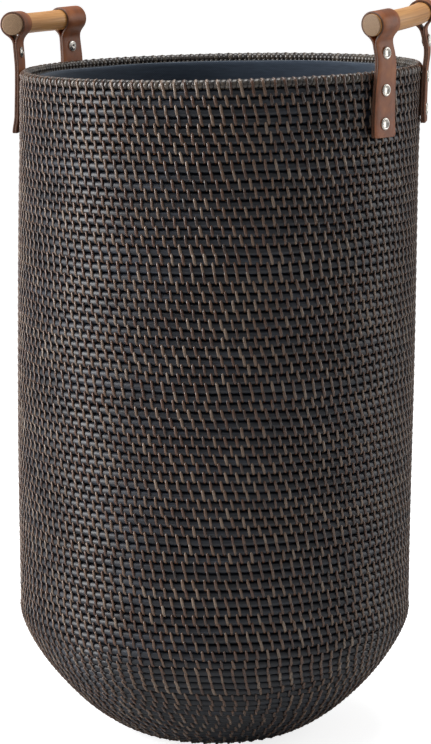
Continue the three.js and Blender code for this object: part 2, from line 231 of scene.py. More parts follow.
@dataclass(frozen=True)
class StainedRattanCore:
    """Rattan core stained dark: near-black with a cold sheen and fine fibres along the rod."""

    dark: str = "#0d0f14"
    mid: str = "#181c24"
    light: str = "#323844"
    fibre_mm: float = 1.2

    def build(self) -> bpy.types.Material:
        """Makes the material.

        Returns:
            The material.
        """
        mat = Material("espresso stained rattan core")
        shell = mat.round_shell()
        fibre = 1 / (self.fibre_mm * MM)
        drawn_out = mat.add("ShaderNodeMapping", {"Vector": shell, "Scale": (30, fibre, fibre)})[0]
        fibres = mat.add("ShaderNodeTexNoise", {"Vector": drawn_out, "Scale": 1, "Detail": 2})["Fac"]
        patches = mat.add("ShaderNodeMapping", {"Vector": shell, "Scale": (14, 14, 40)})[0]
        inputs = {"Vector": patches, "Scale": 1, "Detail": 4, "Roughness": 0.6}
        blotches = mat.add("ShaderNodeTexNoise", inputs)["Fac"]
        both = mat.add("ShaderNodeMath", {0: fibres, 1: blotches}, operation="MULTIPLY")[0]
        stops = ((0.10, self.dark), (0.28, self.mid), (0.5, self.light))
        mat.feed("Base Color", mat.add("ShaderNodeValToRGB", {"Fac": both}, stops=stops)["Color"])
        inputs = {"Value": blotches, "To Min": 0.28, "To Max": 0.5}
        mat.feed("Roughness", mat.add("ShaderNodeMapRange", inputs)["Result"])
        inputs = {"Height": fibres, "Distance": 0.4 * MM, "Strength": 0.6}
        mat.feed("Normal", mat.add("ShaderNodeBump", inputs)["Normal"])
        mat.set(IOR=1.5, Specular_IOR_Level=0.5)
        return mat.data


@dataclass(frozen=True)
class RattanPeelLashing:
    """Split rattan peel, rubbed back after staining: orange brown with a hard gloss, and pale grey tan tones
    that are painted sheen, the grey of light glancing off the glossy peel, spread at random.
    """

    name: str = "rubbed rattan peel lashing"
    deep: str = "#231812"
    brown: str = "#54331f"
    tan: str = "#6a4f3b"
    # The pale grey tan is painted sheen: the colour of light glancing off the glossy peel, put in among the
    # tones at random.
    pale: str = "#8f7c6b"
    fibre_mm: float = 0.5

    def build(self) -> bpy.types.Material:
        """Makes the material. Each strand has its own tone, kept in the attribute tone.

        Returns:
            The material.
        """
        mat = Material(self.name)
        tone = mat.add("ShaderNodeAttribute", attribute_name="tone")["Fac"]
        shell = mat.round_shell()
        broad = mat.add("ShaderNodeMapping", {"Vector": shell, "Scale": (6, 6, 36)})[0]
        patches = mat.add("ShaderNodeTexNoise", {"Vector": broad, "Scale": 1, "Detail": 2})["Fac"]
        shifted = mat.add("ShaderNodeMath", {0: patches, 1: 0.9}, operation="MULTIPLY")[0]
        both = mat.add("ShaderNodeMath", {0: tone, 1: shifted}, operation="ADD")[0]
        half = mat.add("ShaderNodeMath", {0: both, 1: 0.53}, operation="MULTIPLY")[0]
        # The ramp's top end is the pale painted sheen.
        stops = ((0.12, self.deep), (0.38, self.brown), (0.64, self.tan), (0.9, self.pale))
        colour = mat.add("ShaderNodeValToRGB", {"Fac": half}, stops=stops)["Color"]
        fibre = 1 / (self.fibre_mm * MM)
        drawn_out = mat.add("ShaderNodeMapping", {"Vector": shell, "Scale": (fibre, fibre, 60)})[0]
        fibres = mat.add("ShaderNodeTexNoise", {"Vector": drawn_out, "Scale": 1, "Detail": 2})["Fac"]
        stops = ((0.3, "#8a8a8a"), (0.62, "#ffffff"))
        streaks = mat.add("ShaderNodeValToRGB", {"Fac": fibres}, stops=stops)["Color"]
        inputs = {0: 0.7, 6: colour, 7: streaks}
        streaked = mat.add("ShaderNodeMix", inputs, data_type="RGBA", blend_type="MULTIPLY")[2]
        mat.feed("Base Color", streaked)
        inputs = {"Value": fibres, "To Min": 0.2, "To Max": 0.36}
        mat.feed("Roughness", mat.add("ShaderNodeMapRange", inputs)["Result"])
        inputs = {"Height": fibres, "Distance": 0.08 * MM, "Strength": 0.5}
        mat.feed("Normal", mat.add("ShaderNodeBump", inputs)["Normal"])
        mat.set(IOR=1.5, Coat_Weight=0.5, Coat_Roughness=0.16)
        return mat.data


class WeaveTone(Enum):
    """The two places where the same canvas shows: the bag, and its doubled hem, which takes a lighter copy of
    the canvas as painted light on the band at the top.
    """

    BAG = ("charcoal navy canvas", "#1d232b", "#2b323c")
    # The hem's tones are the bag's canvas painted lighter: painted light where the top band catches the
    # light.
    HEM = ("doubled canvas hem", "#2d3744", "#414d5c")


@dataclass(frozen=True)
class PlainCanvas:
    """Plain-woven cotton canvas: matt, with threads that show as a fine crossed grain."""

    tone: WeaveTone
    thread_mm: float = 1.1  # real threads are about 0.5 mm; drawn coarser so that they show

    def build(self) -> bpy.types.Material:
        """Makes the material.

        Returns:
            The material.
        """
        name, dark, light = self.tone.value
        mat = Material(name)
        shell = mat.round_shell()
        pitch = TURN / (self.thread_mm * MM) / 2
        threads = mat.add("ShaderNodeMapping", {"Vector": shell, "Scale": (pitch, pitch, pitch)})[0]
        parts = mat.add("ShaderNodeSeparateXYZ", {"Vector": threads})
        warp = mat.add("ShaderNodeMath", {0: parts["X"]}, operation="SINE")[0]
        weft = mat.add("ShaderNodeMath", {0: parts["Z"]}, operation="SINE")[0]
        cross = mat.add("ShaderNodeMath", {0: warp, 1: weft}, operation="MULTIPLY")[0]
        uneven = mat.add("ShaderNodeMapping", {"Vector": shell, "Scale": (60, 60, 500)})[0]
        slubs = mat.add("ShaderNodeTexNoise", {"Vector": uneven, "Scale": 1, "Detail": 2})["Fac"]
        soft = mat.add("ShaderNodeMapRange", {"Value": cross, "To Min": 0.3, "To Max": 0.7})["Result"]
        grain = mat.add("ShaderNodeMath", {0: soft, 1: slubs}, operation="MULTIPLY")[0]
        stops = ((0.12, dark), (0.4, light))
        mat.feed("Base Color", mat.add("ShaderNodeValToRGB", {"Fac": grain}, stops=stops)["Color"])
        inputs = {"Height": cross, "Distance": 0.12 * MM, "Strength": 0.5}
        mat.feed("Normal", mat.add("ShaderNodeBump", inputs)["Normal"])
        mat.set(Roughness=0.92, Sheen_Weight=0.25, Sheen_Roughness=0.5, Specular_IOR_Level=0.25)
        return mat.data


@dataclass(frozen=True)
class HarnessLeather:
    """Vegetable-tanned strap leather: warm brown with pores, soft creases and a low waxy gloss."""

    shade: str = "#69360f"
    body: str = "#88481c"
    worn: str = "#a05f2e"
    edge_dark: str = "#3a2419"
    edge_light: str = "#6a4632"
    pore_mm: float = 0.8

    def build(self) -> bpy.types.Material:
        """Makes the material of the grain side.

        Returns:
            The material.
        """
        mat = Material("brown harness leather")
        inputs = {"Vector": mat.place, "Scale": 45, "Detail": 4, "Roughness": 0.6}
        clouds = mat.add("ShaderNodeTexNoise", inputs)["Fac"]
        stops = ((0.3, self.shade), (0.5, self.body), (0.72, self.worn))
        mat.feed("Base Color", mat.add("ShaderNodeValToRGB", {"Fac": clouds}, stops=stops)["Color"])
        inputs = {"Vector": mat.place, "Scale": 1 / (self.pore_mm * MM)}
        pores = mat.add("ShaderNodeTexVoronoi", inputs, feature="F1")["Distance"]
        hung = mat.add("ShaderNodeMapping", {"Vector": mat.place, "Scale": (250, 250, 90)})[0]
        creases = mat.add("ShaderNodeTexNoise", {"Vector": hung, "Scale": 1, "Detail": 3})["Fac"]
        inputs = {"Height": creases, "Distance": 0.25 * MM, "Strength": 0.35}
        relief = mat.add("ShaderNodeBump", inputs)["Normal"]
        inputs = {"Height": pores, "Distance": 0.12 * MM, "Strength": 0.5, "Normal": relief}
        mat.feed("Normal", mat.add("ShaderNodeBump", inputs)["Normal"])
        inputs = {"Value": clouds, "To Min": 0.4, "To Max": 0.54}
        mat.feed("Roughness", mat.add("ShaderNodeMapRange", inputs)["Result"])
        mat.set(IOR=1.46, Coat_Weight=0.06, Coat_Roughness=0.3)
        return mat.data

    def build_edge(self) -> bpy.types.Material:
        """Makes the material of the cut and burnished edge, darker and rougher than the face.

        Returns:
            The material.
        """
        mat = Material("burnished leather edge")
        inputs = {"Vector": mat.place, "Scale": 900, "Detail": 3}
        fibres = mat.add("ShaderNodeTexNoise", inputs)["Fac"]
        stops = ((0.3, self.edge_dark), (0.7, self.edge_light))
        mat.feed("Base Color", mat.add("ShaderNodeValToRGB", {"Fac": fibres}, stops=stops)["Color"])
        inputs = {"Height": fibres, "Distance": 0.15 * MM, "Strength": 0.5}
        mat.feed("Normal", mat.add("ShaderNodeBump", inputs)["Normal"])
        mat.set(Roughness=0.6)
        return mat.data


@dataclass(frozen=True)
class OiledHardwood:
    """Oiled light hardwood: honey coloured, with long grain lines and a soft oil gloss.

    Both materials read the attribute rod, a point's place in the rod as it was before bending.
    """

    pale: str = "#e4ae70"
    body: str = "#d59c5c"
    line: str = "#bd8447"
    shaded: str = "#d9c7b8"
    ring: str = "#7a6048"
    between: str = "#a08263"
    grain_mm: float = 1.6

    def build(self) -> bpy.types.Material:
        """Makes the long-grain material, with the grain along the rod.

        Returns:
            The material.
        """
        mat = Material("oiled light hardwood")
        rod = mat.add("ShaderNodeAttribute", attribute_name="rod")["Vector"]
        across = 1 / (self.grain_mm * MM)
        drawn_out = mat.add("ShaderNodeMapping", {"Vector": rod, "Scale": (across, 9, across)})[0]
        inputs = {"Vector": drawn_out, "Scale": 1, "Detail": 4, "Roughness": 0.65}
        lines = mat.add("ShaderNodeTexNoise", inputs)["Fac"]
        bands = mat.add("ShaderNodeMapping", {"Vector": rod, "Scale": (60, 12, 60)})[0]
        broad = mat.add("ShaderNodeTexNoise", {"Vector": bands, "Scale": 1, "Detail": 2})["Fac"]
        stops = ((0.34, self.line), (0.5, self.body), (0.68, self.pale))
        colour = mat.add("ShaderNodeValToRGB", {"Fac": lines}, stops=stops)["Color"]
        stops = ((0.3, self.shaded), (0.7, "#ffffff"))
        warmth = mat.add("ShaderNodeValToRGB", {"Fac": broad}, stops=stops)["Color"]
        inputs = {0: 0.6, 6: colour, 7: warmth}
        warmed = mat.add("ShaderNodeMix", inputs, data_type="RGBA", blend_type="MULTIPLY")[2]
        mat.feed("Base Color", warmed)
        inputs = {"Height": lines, "Distance": 0.06 * MM, "Strength": 0.4}
        mat.feed("Normal", mat.add("ShaderNodeBump", inputs)["Normal"])
        inputs = {"Value": lines, "To Min": 0.38, "To Max": 0.5}
        mat.feed("Roughness", mat.add("ShaderNodeMapRange", inputs)["Result"])
        mat.set(IOR=1.48, Coat_Weight=0.15, Coat_Roughness=0.3)
        return mat.data

    def build_end(self) -> bpy.types.Material:
        """Makes the end-grain material: darker, with arcs of year rings and open pores.

        Returns:
            The material.
        """
        mat = Material("hardwood end grain")
        rod = mat.add("ShaderNodeAttribute", attribute_name="rod")["Vector"]
        pith = (-6 * MM, 0.0, 10 * MM)
        moved = mat.add("ShaderNodeMapping", {"Vector": rod, "Location": pith, "Scale": (1, 0, 1)})[0]
        inputs = {"Vector": moved, "Scale": 260, "Distortion": 3, "Detail": 2, "Detail Scale": 2}
        rings = mat.add("ShaderNodeTexWave", inputs, wave_type="RINGS", rings_direction="Y")["Fac"]
        pores = mat.add("ShaderNodeTexNoise", {"Vector": rod, "Scale": 1500, "Detail": 2})["Fac"]
        both = mat.add("ShaderNodeMath", {0: rings, 1: pores}, operation="MULTIPLY")[0]
        stops = ((0.05, self.ring), (0.6, self.between))
        mat.feed("Base Color", mat.add("ShaderNodeValToRGB", {"Fac": both}, stops=stops)["Color"])
        inputs = {"Height": pores, "Distance": 0.1 * MM, "Strength": 0.4}
        mat.feed("Normal", mat.add("ShaderNodeBump", inputs)["Normal"])
        mat.set(Roughness=0.62)
        return mat.data


@dataclass(frozen=True)
class PlatedNickel:
    """Nickel-plated steel: a warm bright metal, softly polished with fine rub marks."""

    bright: str = "#cfcac2"

    def build(self) -> bpy.types.Material:
        """Makes the material.

        Returns:
            The material.
        """
        mat = Material("nickel plated steel")
        rubs = mat.add("ShaderNodeTexNoise", {"Vector": mat.place, "Scale": 700, "Detail": 3})["Fac"]
        inputs = {"Value": rubs, "To Min": 0.18, "To Max": 0.34}
        mat.feed("Roughness", mat.add("ShaderNodeMapRange", inputs)["Result"])
        inputs = {"Height": rubs, "Distance": 0.02 * MM, "Strength": 0.3}
        mat.feed("Normal", mat.add("ShaderNodeBump", inputs)["Normal"])
        mat.shader.inputs["Base Color"].default_value = linear(self.bright)
        mat.set(Metallic=1.0)
        return mat.data


# ---------------------------------------------------------------------------- geometry trees


class Tree:
    """A Geometry Nodes tree being built, with named inputs."""

    def __init__(self, name: str) -> None:
        """Starts a tree with one geometry output.

        Args:
            name: what the tree makes.
        """
        self.data = bpy.data.node_groups.new(name, "GeometryNodeTree")
        self.data.interface.new_socket("Geometry", in_out="OUTPUT", socket_type="NodeSocketGeometry")
        self.data.interface.new_socket("Geometry", in_out="INPUT", socket_type="NodeSocketGeometry")
        self.entry = self.data.nodes.new("NodeGroupInput").outputs
        self.identifiers = {}

    def value(self, name: str, kind: str) -> bpy.types.NodeSocket:
        """Adds a named input and returns the socket that gives it."""
        socket = self.data.interface.new_socket(name, in_out="INPUT", socket_type="NodeSocket" + kind)
        self.identifiers[name] = socket.identifier
        return self.entry[name]

    def add(self, kind: str, inputs: dict | None = None, **settings) -> bpy.types.NodeOutputs:
        """Adds a node to this tree and returns its outputs."""
        return add_node(self.data, kind, inputs, **settings).outputs

    def finish(self, geometry: bpy.types.NodeSocket, material: bpy.types.NodeSocket) -> None:
        """Ends the tree in real geometry with its material."""
        real = self.add("GeometryNodeRealizeInstances", {"Geometry": geometry})[0]
        dressed = self.add("GeometryNodeSetMaterial", {"Geometry": real, "Material": material})[0]
        self.add("NodeGroupOutput", {"Geometry": dressed})

    def apply(self, name: str, host: bpy.types.Object, values: dict) -> bpy.types.Object:
        """Runs the tree on a host object and turns the result into a plain mesh object.

        Args:
            name: the new piece's name.
            host: the object that carries the modifier while the tree runs.
            values: each named input's value.

        Returns:
            The plain mesh object, linked to the scene. The host keeps no modifier.
        """
        modifier = host.modifiers.new(name, "NODES")
        modifier.node_group = self.data
        for key, value in values.items():
            modifier[self.identifiers[key]] = value
        bpy.context.view_layer.update()
        evaluated = host.evaluated_get(bpy.context.evaluated_depsgraph_get())
        mesh = bpy.data.meshes.new_from_object(evaluated)
        mesh.name = name
        host.modifiers.remove(modifier)
        obj = bpy.data.objects.new(name, mesh)
        bpy.context.scene.collection.objects.link(obj)
        return obj


def rows_tree() -> tuple[Tree, dict]:
    """Starts a tree that lays level rows round the shell, one pitch apart along its profile.

    Returns:
        The tree, and its parts so far: the row curves, the seed and the material.
    """
    tree = Tree("rows round the shell")
    profile = tree.value("Profile", "Object")
    start = tree.value("Start", "Float")
    pitch = tree.value("Pitch", "Float")
    rows = tree.value("Rows", "Int")
    spacing = tree.value("Spacing", "Float")
    first = tree.value("First Row", "Int")
    seed = tree.value("Seed", "Int")
    material = tree.value("Material", "Material")

    source = tree.add("GeometryNodeObjectInfo", {"Object": profile})["Geometry"]
    curve = tree.add("GeometryNodeMeshToCurve", {"Mesh": source})[0]
    index = tree.add("GeometryNodeInputIndex")[0]
    length = tree.add("ShaderNodeMath", {0: index, 1: pitch, 2: start}, operation="MULTIPLY_ADD")[0]
    sample = tree.add("GeometryNodeSampleCurve", {"Curves": curve, "Length": length}, mode="LENGTH")
    place = tree.add("ShaderNodeSeparateXYZ", {"Vector": sample["Position"]})
    slope = tree.add("ShaderNodeSeparateXYZ", {"Vector": sample["Tangent"]})

    girth = tree.add("ShaderNodeMath", {0: place["X"], 1: TURN}, operation="MULTIPLY")[0]
    stitches = tree.add("ShaderNodeMath", {0: girth, 1: spacing}, operation="DIVIDE")[0]
    whole = tree.add("ShaderNodeMath", {0: stitches}, operation="ROUND")[0]
    count = tree.add("ShaderNodeMath", {0: whole, 1: 3.0}, operation="MAXIMUM")[0]

    # Every other row starts half a step on, and each slips a little either way.
    row = tree.add("ShaderNodeMath", {0: index, 1: first}, operation="ADD")[0]
    odd = tree.add("ShaderNodeMath", {0: row, 1: 2.0}, operation="MODULO")[0]
    half_step = tree.add("ShaderNodeMath", {0: math.pi, 1: count}, operation="DIVIDE")[0]
    slip_seed = tree.add("ShaderNodeMath", {0: seed, 1: 3.0}, operation="ADD")[0]
    inputs = {2: -0.4, 3: 0.4, "Seed": slip_seed}
    slip = tree.add("FunctionNodeRandomValue", inputs, data_type="FLOAT")[1]
    shifted = tree.add("ShaderNodeMath", {0: odd, 1: slip}, operation="ADD")[0]
    phase = tree.add("ShaderNodeMath", {0: shifted, 1: half_step}, operation="MULTIPLY")[0]

    points = tree.add("GeometryNodeMeshLine", {"Count": rows, "Offset": (0, 0, 0)})[0]
    kept = {"data_type": "FLOAT", "domain": "POINT"}
    for name, value in (("row_count", count), ("slope_out", slope["X"]), ("slope_up", slope["Z"])):
        inputs = {"Geometry": points, "Name": name, "Value": value}
        points = tree.add("GeometryNodeStoreNamedAttribute", inputs, **kept)[0]
    height = tree.add("ShaderNodeCombineXYZ", {"Z": place["Z"]})[0]
    scale = tree.add("ShaderNodeCombineXYZ", {"X": place["X"], "Y": place["X"], "Z": 1.0})[0]
    turned = tree.add("ShaderNodeCombineXYZ", {"Z": phase})[0]
    inputs = {"Resolution": 144, "Radius": 1.0}
    circle = tree.add("GeometryNodeCurvePrimitiveCircle", inputs, mode="RADIUS")[0]
    placed = tree.add("GeometryNodeSetPosition", {"Geometry": points, "Position": height})[0]
    inputs = {"Points": placed, "Instance": circle, "Rotation": turned, "Scale": scale}
    rings = tree.add("GeometryNodeInstanceOnPoints", inputs)[0]
    curves = tree.add("GeometryNodeRealizeInstances", {"Geometry": rings})[0]
    return tree, {"curves": curves, "seed": seed, "material": material}


def rods_tree() -> Tree:
    """Builds the tree that makes a rod along each row.

    Returns:
        The tree, with the added inputs Thickness, Sides and Steps.
    """
    tree, parts = rows_tree()
    thickness = tree.value("Thickness", "Float")
    sides = tree.value("Sides", "Int")
    steps = tree.value("Steps", "Int")
    radius = tree.add("ShaderNodeMath", {0: thickness, 1: 0.5}, operation="MULTIPLY")[0]
    even = tree.add("GeometryNodeResampleCurve", {"Curve": parts["curves"], "Count": steps})[0]
    inputs = {"Resolution": sides, "Radius": radius}
    circle = tree.add("GeometryNodeCurvePrimitiveCircle", inputs, mode="RADIUS")[0]
    rods = tree.add("GeometryNodeCurveToMesh", {"Curve": even, "Profile Curve": circle})[0]
    smooth = tree.add("GeometryNodeSetShadeSmooth", {"Geometry": rods})[0]
    tree.finish(smooth, parts["material"])
    return tree


def strands_tree() -> Tree:
    """Builds the tree that sets a strand of lashing at even steps along each row.

    Returns:
        The tree, with the added inputs Strand, Lean Jitter and Size Jitter.
    """
    tree, parts = rows_tree()
    strand = tree.value("Strand", "Object")
    lean = tree.value("Lean Jitter", "Float")
    size = tree.value("Size Jitter", "Float")
    count = tree.add("GeometryNodeInputNamedAttribute", {"Name": "row_count"}, data_type="FLOAT")[0]
    even = tree.add("GeometryNodeResampleCurve", {"Curve": parts["curves"], "Count": count})[0]

    # A strand stands on the shell: its height follows the profile, and its face looks outwards.
    here = tree.add("ShaderNodeSeparateXYZ", {"Vector": tree.add("GeometryNodeInputPosition")[0]})
    azimuth = tree.add("ShaderNodeMath", {0: here["Y"], 1: here["X"]}, operation="ARCTAN2")[0]
    out = tree.add("GeometryNodeInputNamedAttribute", {"Name": "slope_out"}, data_type="FLOAT")[0]
    up = tree.add("GeometryNodeInputNamedAttribute", {"Name": "slope_up"}, data_type="FLOAT")[0]
    rise = tree.add("ShaderNodeCombineXYZ", {"X": out, "Z": up})[0]
    back = tree.add("ShaderNodeMath", {0: out, 1: -1.0}, operation="MULTIPLY")[0]
    face = tree.add("ShaderNodeCombineXYZ", {"X": up, "Z": back})[0]
    rise, face = (
        tree.add("ShaderNodeVectorRotate", {"Vector": way, "Angle": azimuth}, rotation_type="Z_AXIS")[0]
        for way in (rise, face)
    )
    inputs = {"Primary Axis": face, "Secondary Axis": rise}
    aimed = tree.add("FunctionNodeAxesToRotation", inputs, primary_axis="Z", secondary_axis="Y")[0]

    seed = parts["seed"]
    inputs = {2: -1.0, 3: 1.0, "Seed": seed}
    either_way = tree.add("FunctionNodeRandomValue", inputs, data_type="FLOAT")[1]
    tilt = tree.add("ShaderNodeMath", {0: either_way, 1: lean}, operation="MULTIPLY")[0]
    turn = tree.add("ShaderNodeCombineXYZ", {"Z": tilt})[0]
    inputs = {"Rotation": aimed, "Rotate By": turn}
    rotation = tree.add("FunctionNodeRotateRotation", inputs, rotation_space="LOCAL")[0]
    width_seed = tree.add("ShaderNodeMath", {0: seed, 1: 1.0}, operation="ADD")[0]
    inputs = {2: -1.0, 3: 1.0, "Seed": width_seed}
    more_or_less = tree.add("FunctionNodeRandomValue", inputs, data_type="FLOAT")[1]
    inputs = {0: more_or_less, 1: size, 2: 1.0}
    wide = tree.add("ShaderNodeMath", inputs, operation="MULTIPLY_ADD")[0]
    scale = tree.add("ShaderNodeCombineXYZ", {"X": wide, "Y": 1.0, "Z": 1.0})[0]

    shape = tree.add("GeometryNodeObjectInfo", {"Object": strand})["Geometry"]
    inputs = {"Points": even, "Instance": shape, "Rotation": rotation, "Scale": scale}
    strands = tree.add("GeometryNodeInstanceOnPoints", inputs)[0]
    tone_seed = tree.add("ShaderNodeMath", {0: seed, 1: 2.0}, operation="ADD")[0]
    inputs = {2: 0.0, 3: 1.0, "Seed": tone_seed}
    tone = tree.add("FunctionNodeRandomValue", inputs, data_type="FLOAT")[1]
    inputs = {"Geometry": strands, "Name": "tone", "Value": tone}
    kept = {"data_type": "FLOAT", "domain": "INSTANCE"}
    toned = tree.add("GeometryNodeStoreNamedAttribute", inputs, **kept)[0]
    tree.finish(toned, parts["material"])
    return tree


# ---------------------------------------------------------------------------- woven shell


@dataclass
class HandWeave:
    """How the hand-woven shell departs from a true one, as the frame's solids do."""

    drift: float = 4.6 * MM
    rim_rise: float = 5.0 * MM
    azimuth: float = math.radians(23.5)
    true_height: float = 0.250
    rim_height: float = 0.675
    radius: float = SHELL_RADIUS
    bulge: float = 1.2 * MM
    ripple: float = 0.45 * MM

    def shift(self, points: np.ndarray) -> np.ndarray:
        """Moves points of the true shape to where the frame's solids have them.

        Args:
            points: positions, one row each.

        Returns:
            The moved positions.
        """
        x, y, z = points.T
        share = np.clip((z - self.true_height) / (self.rim_height - self.true_height), 0, None) ** 2
        uphill = (x * math.cos(self.azimuth) + y * math.sin(self.azimuth)) / self.radius
        moved = points.copy()
        moved[:, 0] += self.drift * share * math.cos(self.azimuth)
        moved[:, 1] += self.drift * share * math.sin(self.azimuth)
        moved[:, 2] += self.rim_rise * share * uphill
        return moved

    def weave(self, points: np.ndarray) -> np.ndarray:
        """Adds the weave's own small unevenness to the shift.

        Args:
            points: positions, one row each.

        Returns:
            The moved positions: a slight belly, and rows that run a little up and down.
        """
        x, y, z = points.T
        angle = np.arctan2(y, x)
        belly = np.sin(math.pi * np.clip(z / self.rim_height, 0, 1)) ** 2
        below_rim = smooth_step(self.rim_height - 0.09, self.rim_height - 0.02, z)
        calm = smooth_step(0.012, 0.06, z) * (1 - below_rim)
        wave = np.sin(3 * angle + 19 * z) + 0.7 * np.sin(7 * angle - 31 * z + 1)
        wave += 0.5 * np.sin(13 * angle + 57 * z)
        dent = np.sin(2 * angle + 11 * z + 2) + 0.6 * np.sin(5 * angle - 17 * z)
        moved = points.copy()
        swell = 1 + (self.bulge * belly + self.ripple * calm * (dent - 1.6)) / self.radius
        moved[:, 0] *= swell
        moved[:, 1] *= swell
        moved[:, 2] += self.ripple * calm * wave
        return self.shift(moved)

    def apply(self, obj: bpy.types.Object) -> None:
        """Moves a mesh object's points in place.

        Args:
            obj: the piece to move.
        """
        mesh = obj.data
        flat = np.empty(len(mesh.vertices) * 3)
        mesh.vertices.foreach_get("co", flat)
        mesh.vertices.foreach_set("co", self.weave(flat.reshape(-1, 3)).ravel())
        mesh.update()


@dataclass
class WovenShell:
    """The coiled body: rods laid in rows, lashed by strands of peel, under a wrapped rim coil."""

    weave: HandWeave
    foot_width: float = 0.119
    foot_height: float = 0.124
    foot_roundness: float = 1.4
    coil_thickness: float = 9.5 * MM
    rod: float = 8.5 * MM
    pitch: float = 8.7 * MM
    crown: float = 1.15 * MM  # how far the lashing stands over the rods
    spacing: float = 10.3 * MM
    rim_spacing: float = 5.15 * MM
    strand: float = 2.9 * MM
    lean: float = 0.20  # how far a stitch runs sideways for each step upwards

    def outline(self, inset: float) -> np.ndarray:
        """Traces the shell's profile, from the middle of the base to the wall's top.

        Args:
            inset: how far inside the shell's outer face the line runs.

        Returns:
            Points as (radius, height).
        """
        radius = self.weave.radius
        base = radius - self.foot_width
        angle = np.linspace(math.pi / 2, 0, 161)
        power = 2 / self.foot_roundness
        out = base + self.foot_width * np.cos(angle) ** power
        up = self.foot_height * (1 - np.sin(angle) ** power)
        wall_top = self.weave.rim_height - self.coil_thickness / 2
        dense = np.concatenate([[[0, 0]], np.column_stack([out, up]), [[radius, wall_top]]])
        along = np.concatenate([[0], np.cumsum(np.linalg.norm(np.diff(dense, axis=0), axis=1))])
        even = np.linspace(0, along[-1], int(along[-1] / (4 * MM)))
        line = np.column_stack([np.interp(even, along, dense[:, 0]), np.interp(even, along, dense[:, 1])])
        step = np.gradient(line, axis=0)
        step /= np.linalg.norm(step, axis=1)[:, None]
        inward = np.column_stack([-step[:, 1], step[:, 0]])
        moved = line + inward * inset
        moved[0, 0] = 0
        return moved

    def profile_object(self, inset: float) -> bpy.types.Object:
        """Makes the profile a polyline object that the trees sample.

        Args:
            inset: how far inside the shell's outer face it runs.

        Returns:
            The object, which is not linked to the scene.
        """
        line = self.outline(inset)
        mesh = bpy.data.meshes.new("profile")
        points = [(x, 0, z) for x, z in line]
        mesh.from_pydata(points, [(i, i + 1) for i in range(len(points) - 1)], [])
        return bpy.data.objects.new("profile", mesh)

    def strand_object(
        self, path: np.ndarray, widths: np.ndarray, thickness: float, face: float = 1.0, along: int = 0
    ) -> bpy.types.Object:
        """Makes one strand of lashing, domed on its outer face.

        Args:
            path: points along the strand in its own frame: right, up, outwards.
            widths: its width at each point.
            thickness: of the peel.
            face: 1 where its domed face looks outwards, -1 where it looks inwards.
            along: the axis that lies across the strand.

        Returns:
            The strand, which is not linked to the scene.
        """
        step = np.gradient(path, axis=0)
        step /= np.linalg.norm(step, axis=1)[:, None]
        side = np.cross(step, np.eye(3)[along])
        side /= np.linalg.norm(side, axis=1)[:, None]
        out = side * face if along == 0 else side * np.sign(side[:, 2:])
        across = np.cross(step, out)
        section = [(-0.5, -0.6), (0.5, -0.6), (0.42, 0.25), (0.0, 0.5), (-0.42, 0.25)]
        rings = np.array(
            [
                [p + a * w * s + o * thickness * t for s, t in section]
                for p, a, o, w in zip(path, across, out, widths)
            ]
        )
        points, faces = swept_tube(rings)
        strand = mesh_object("strand", points, faces, [])
        bpy.context.scene.collection.objects.unlink(strand)
        return strand

    def wall_strand(self, side: float = 1.0) -> bpy.types.Object:
        """Makes the stitch that leaves the row above and passes down over its own row.

        Args:
            side: 1 for the outer face, -1 for the inner one.

        Returns:
            The strand object.
        """
        ups = np.array([0.96, 0.78, 0.45, 0.05, -0.28, -0.46]) * self.pitch
        outs = self.rod / 2 + np.array([-0.7, 0.4, 0.0, 0.6, -0.35, -2.6]) * MM
        widths = self.strand * np.array([0.45, 0.85, 1.0, 1.0, 0.96, 0.8])
        rights = -self.lean * (ups - 0.2 * self.pitch)
        return self.strand_object(np.column_stack([rights, ups, side * outs]), widths, 1.0 * MM, side)

    def rim_strand(self) -> bpy.types.Object:
        """Makes the long stitch that starts on top of the rim coil and passes over the first row.

        Returns:
            The strand object.
        """
        rim = self.coil_thickness / 2 + 0.15 * MM
        curl = np.radians([100, 66, 32, 4])
        down = np.array([0.45, 0.05, -0.28, -0.46]) * self.pitch
        ups = np.concatenate([self.pitch + rim * np.sin(curl), down])
        over = np.array([-0.3, 0.6, -0.35, -2.6]) * MM + self.rod / 2
        outs = np.concatenate([rim * np.cos(curl), over])
        widths = self.strand * np.array([0.7, 1.0, 1.05, 1.0, 0.95, 1.0, 0.96, 0.8])
        rights = -self.lean * (ups - 0.2 * self.pitch)
        return self.strand_object(np.column_stack([rights, ups, outs]), widths, 1.0 * MM)

    def rim_wrap(self) -> bpy.types.Object:
        """Makes one turn of peel round the rim coil, leaning along it.

        Returns:
            The turn of peel, not linked to the scene.
        """
        turn = np.linspace(0, TURN, 14, endpoint=False)
        radius = self.coil_thickness / 2 - 0.45 * MM
        lean = 0.9 * MM
        rings = []
        for angle in turn:
            out = np.array([0, math.cos(angle), math.sin(angle)])
            middle = out * radius + np.array([lean * math.cos(angle + 0.6), 0, 0])
            half = self.rim_spacing * 0.46
            section = [(-half, -0.3), (half, -0.3), (half * 0.8, 0.22), (0, 0.45), (-half * 0.8, 0.22)]
            rings.append([middle + np.array([s, 0, 0]) + out * t * MM for s, t in section])
        points, faces = swept_tube(np.array(rings), closed=True)
        wrap = mesh_object("wrap", points, faces, [])
        bpy.context.scene.collection.objects.unlink(wrap)
        return wrap

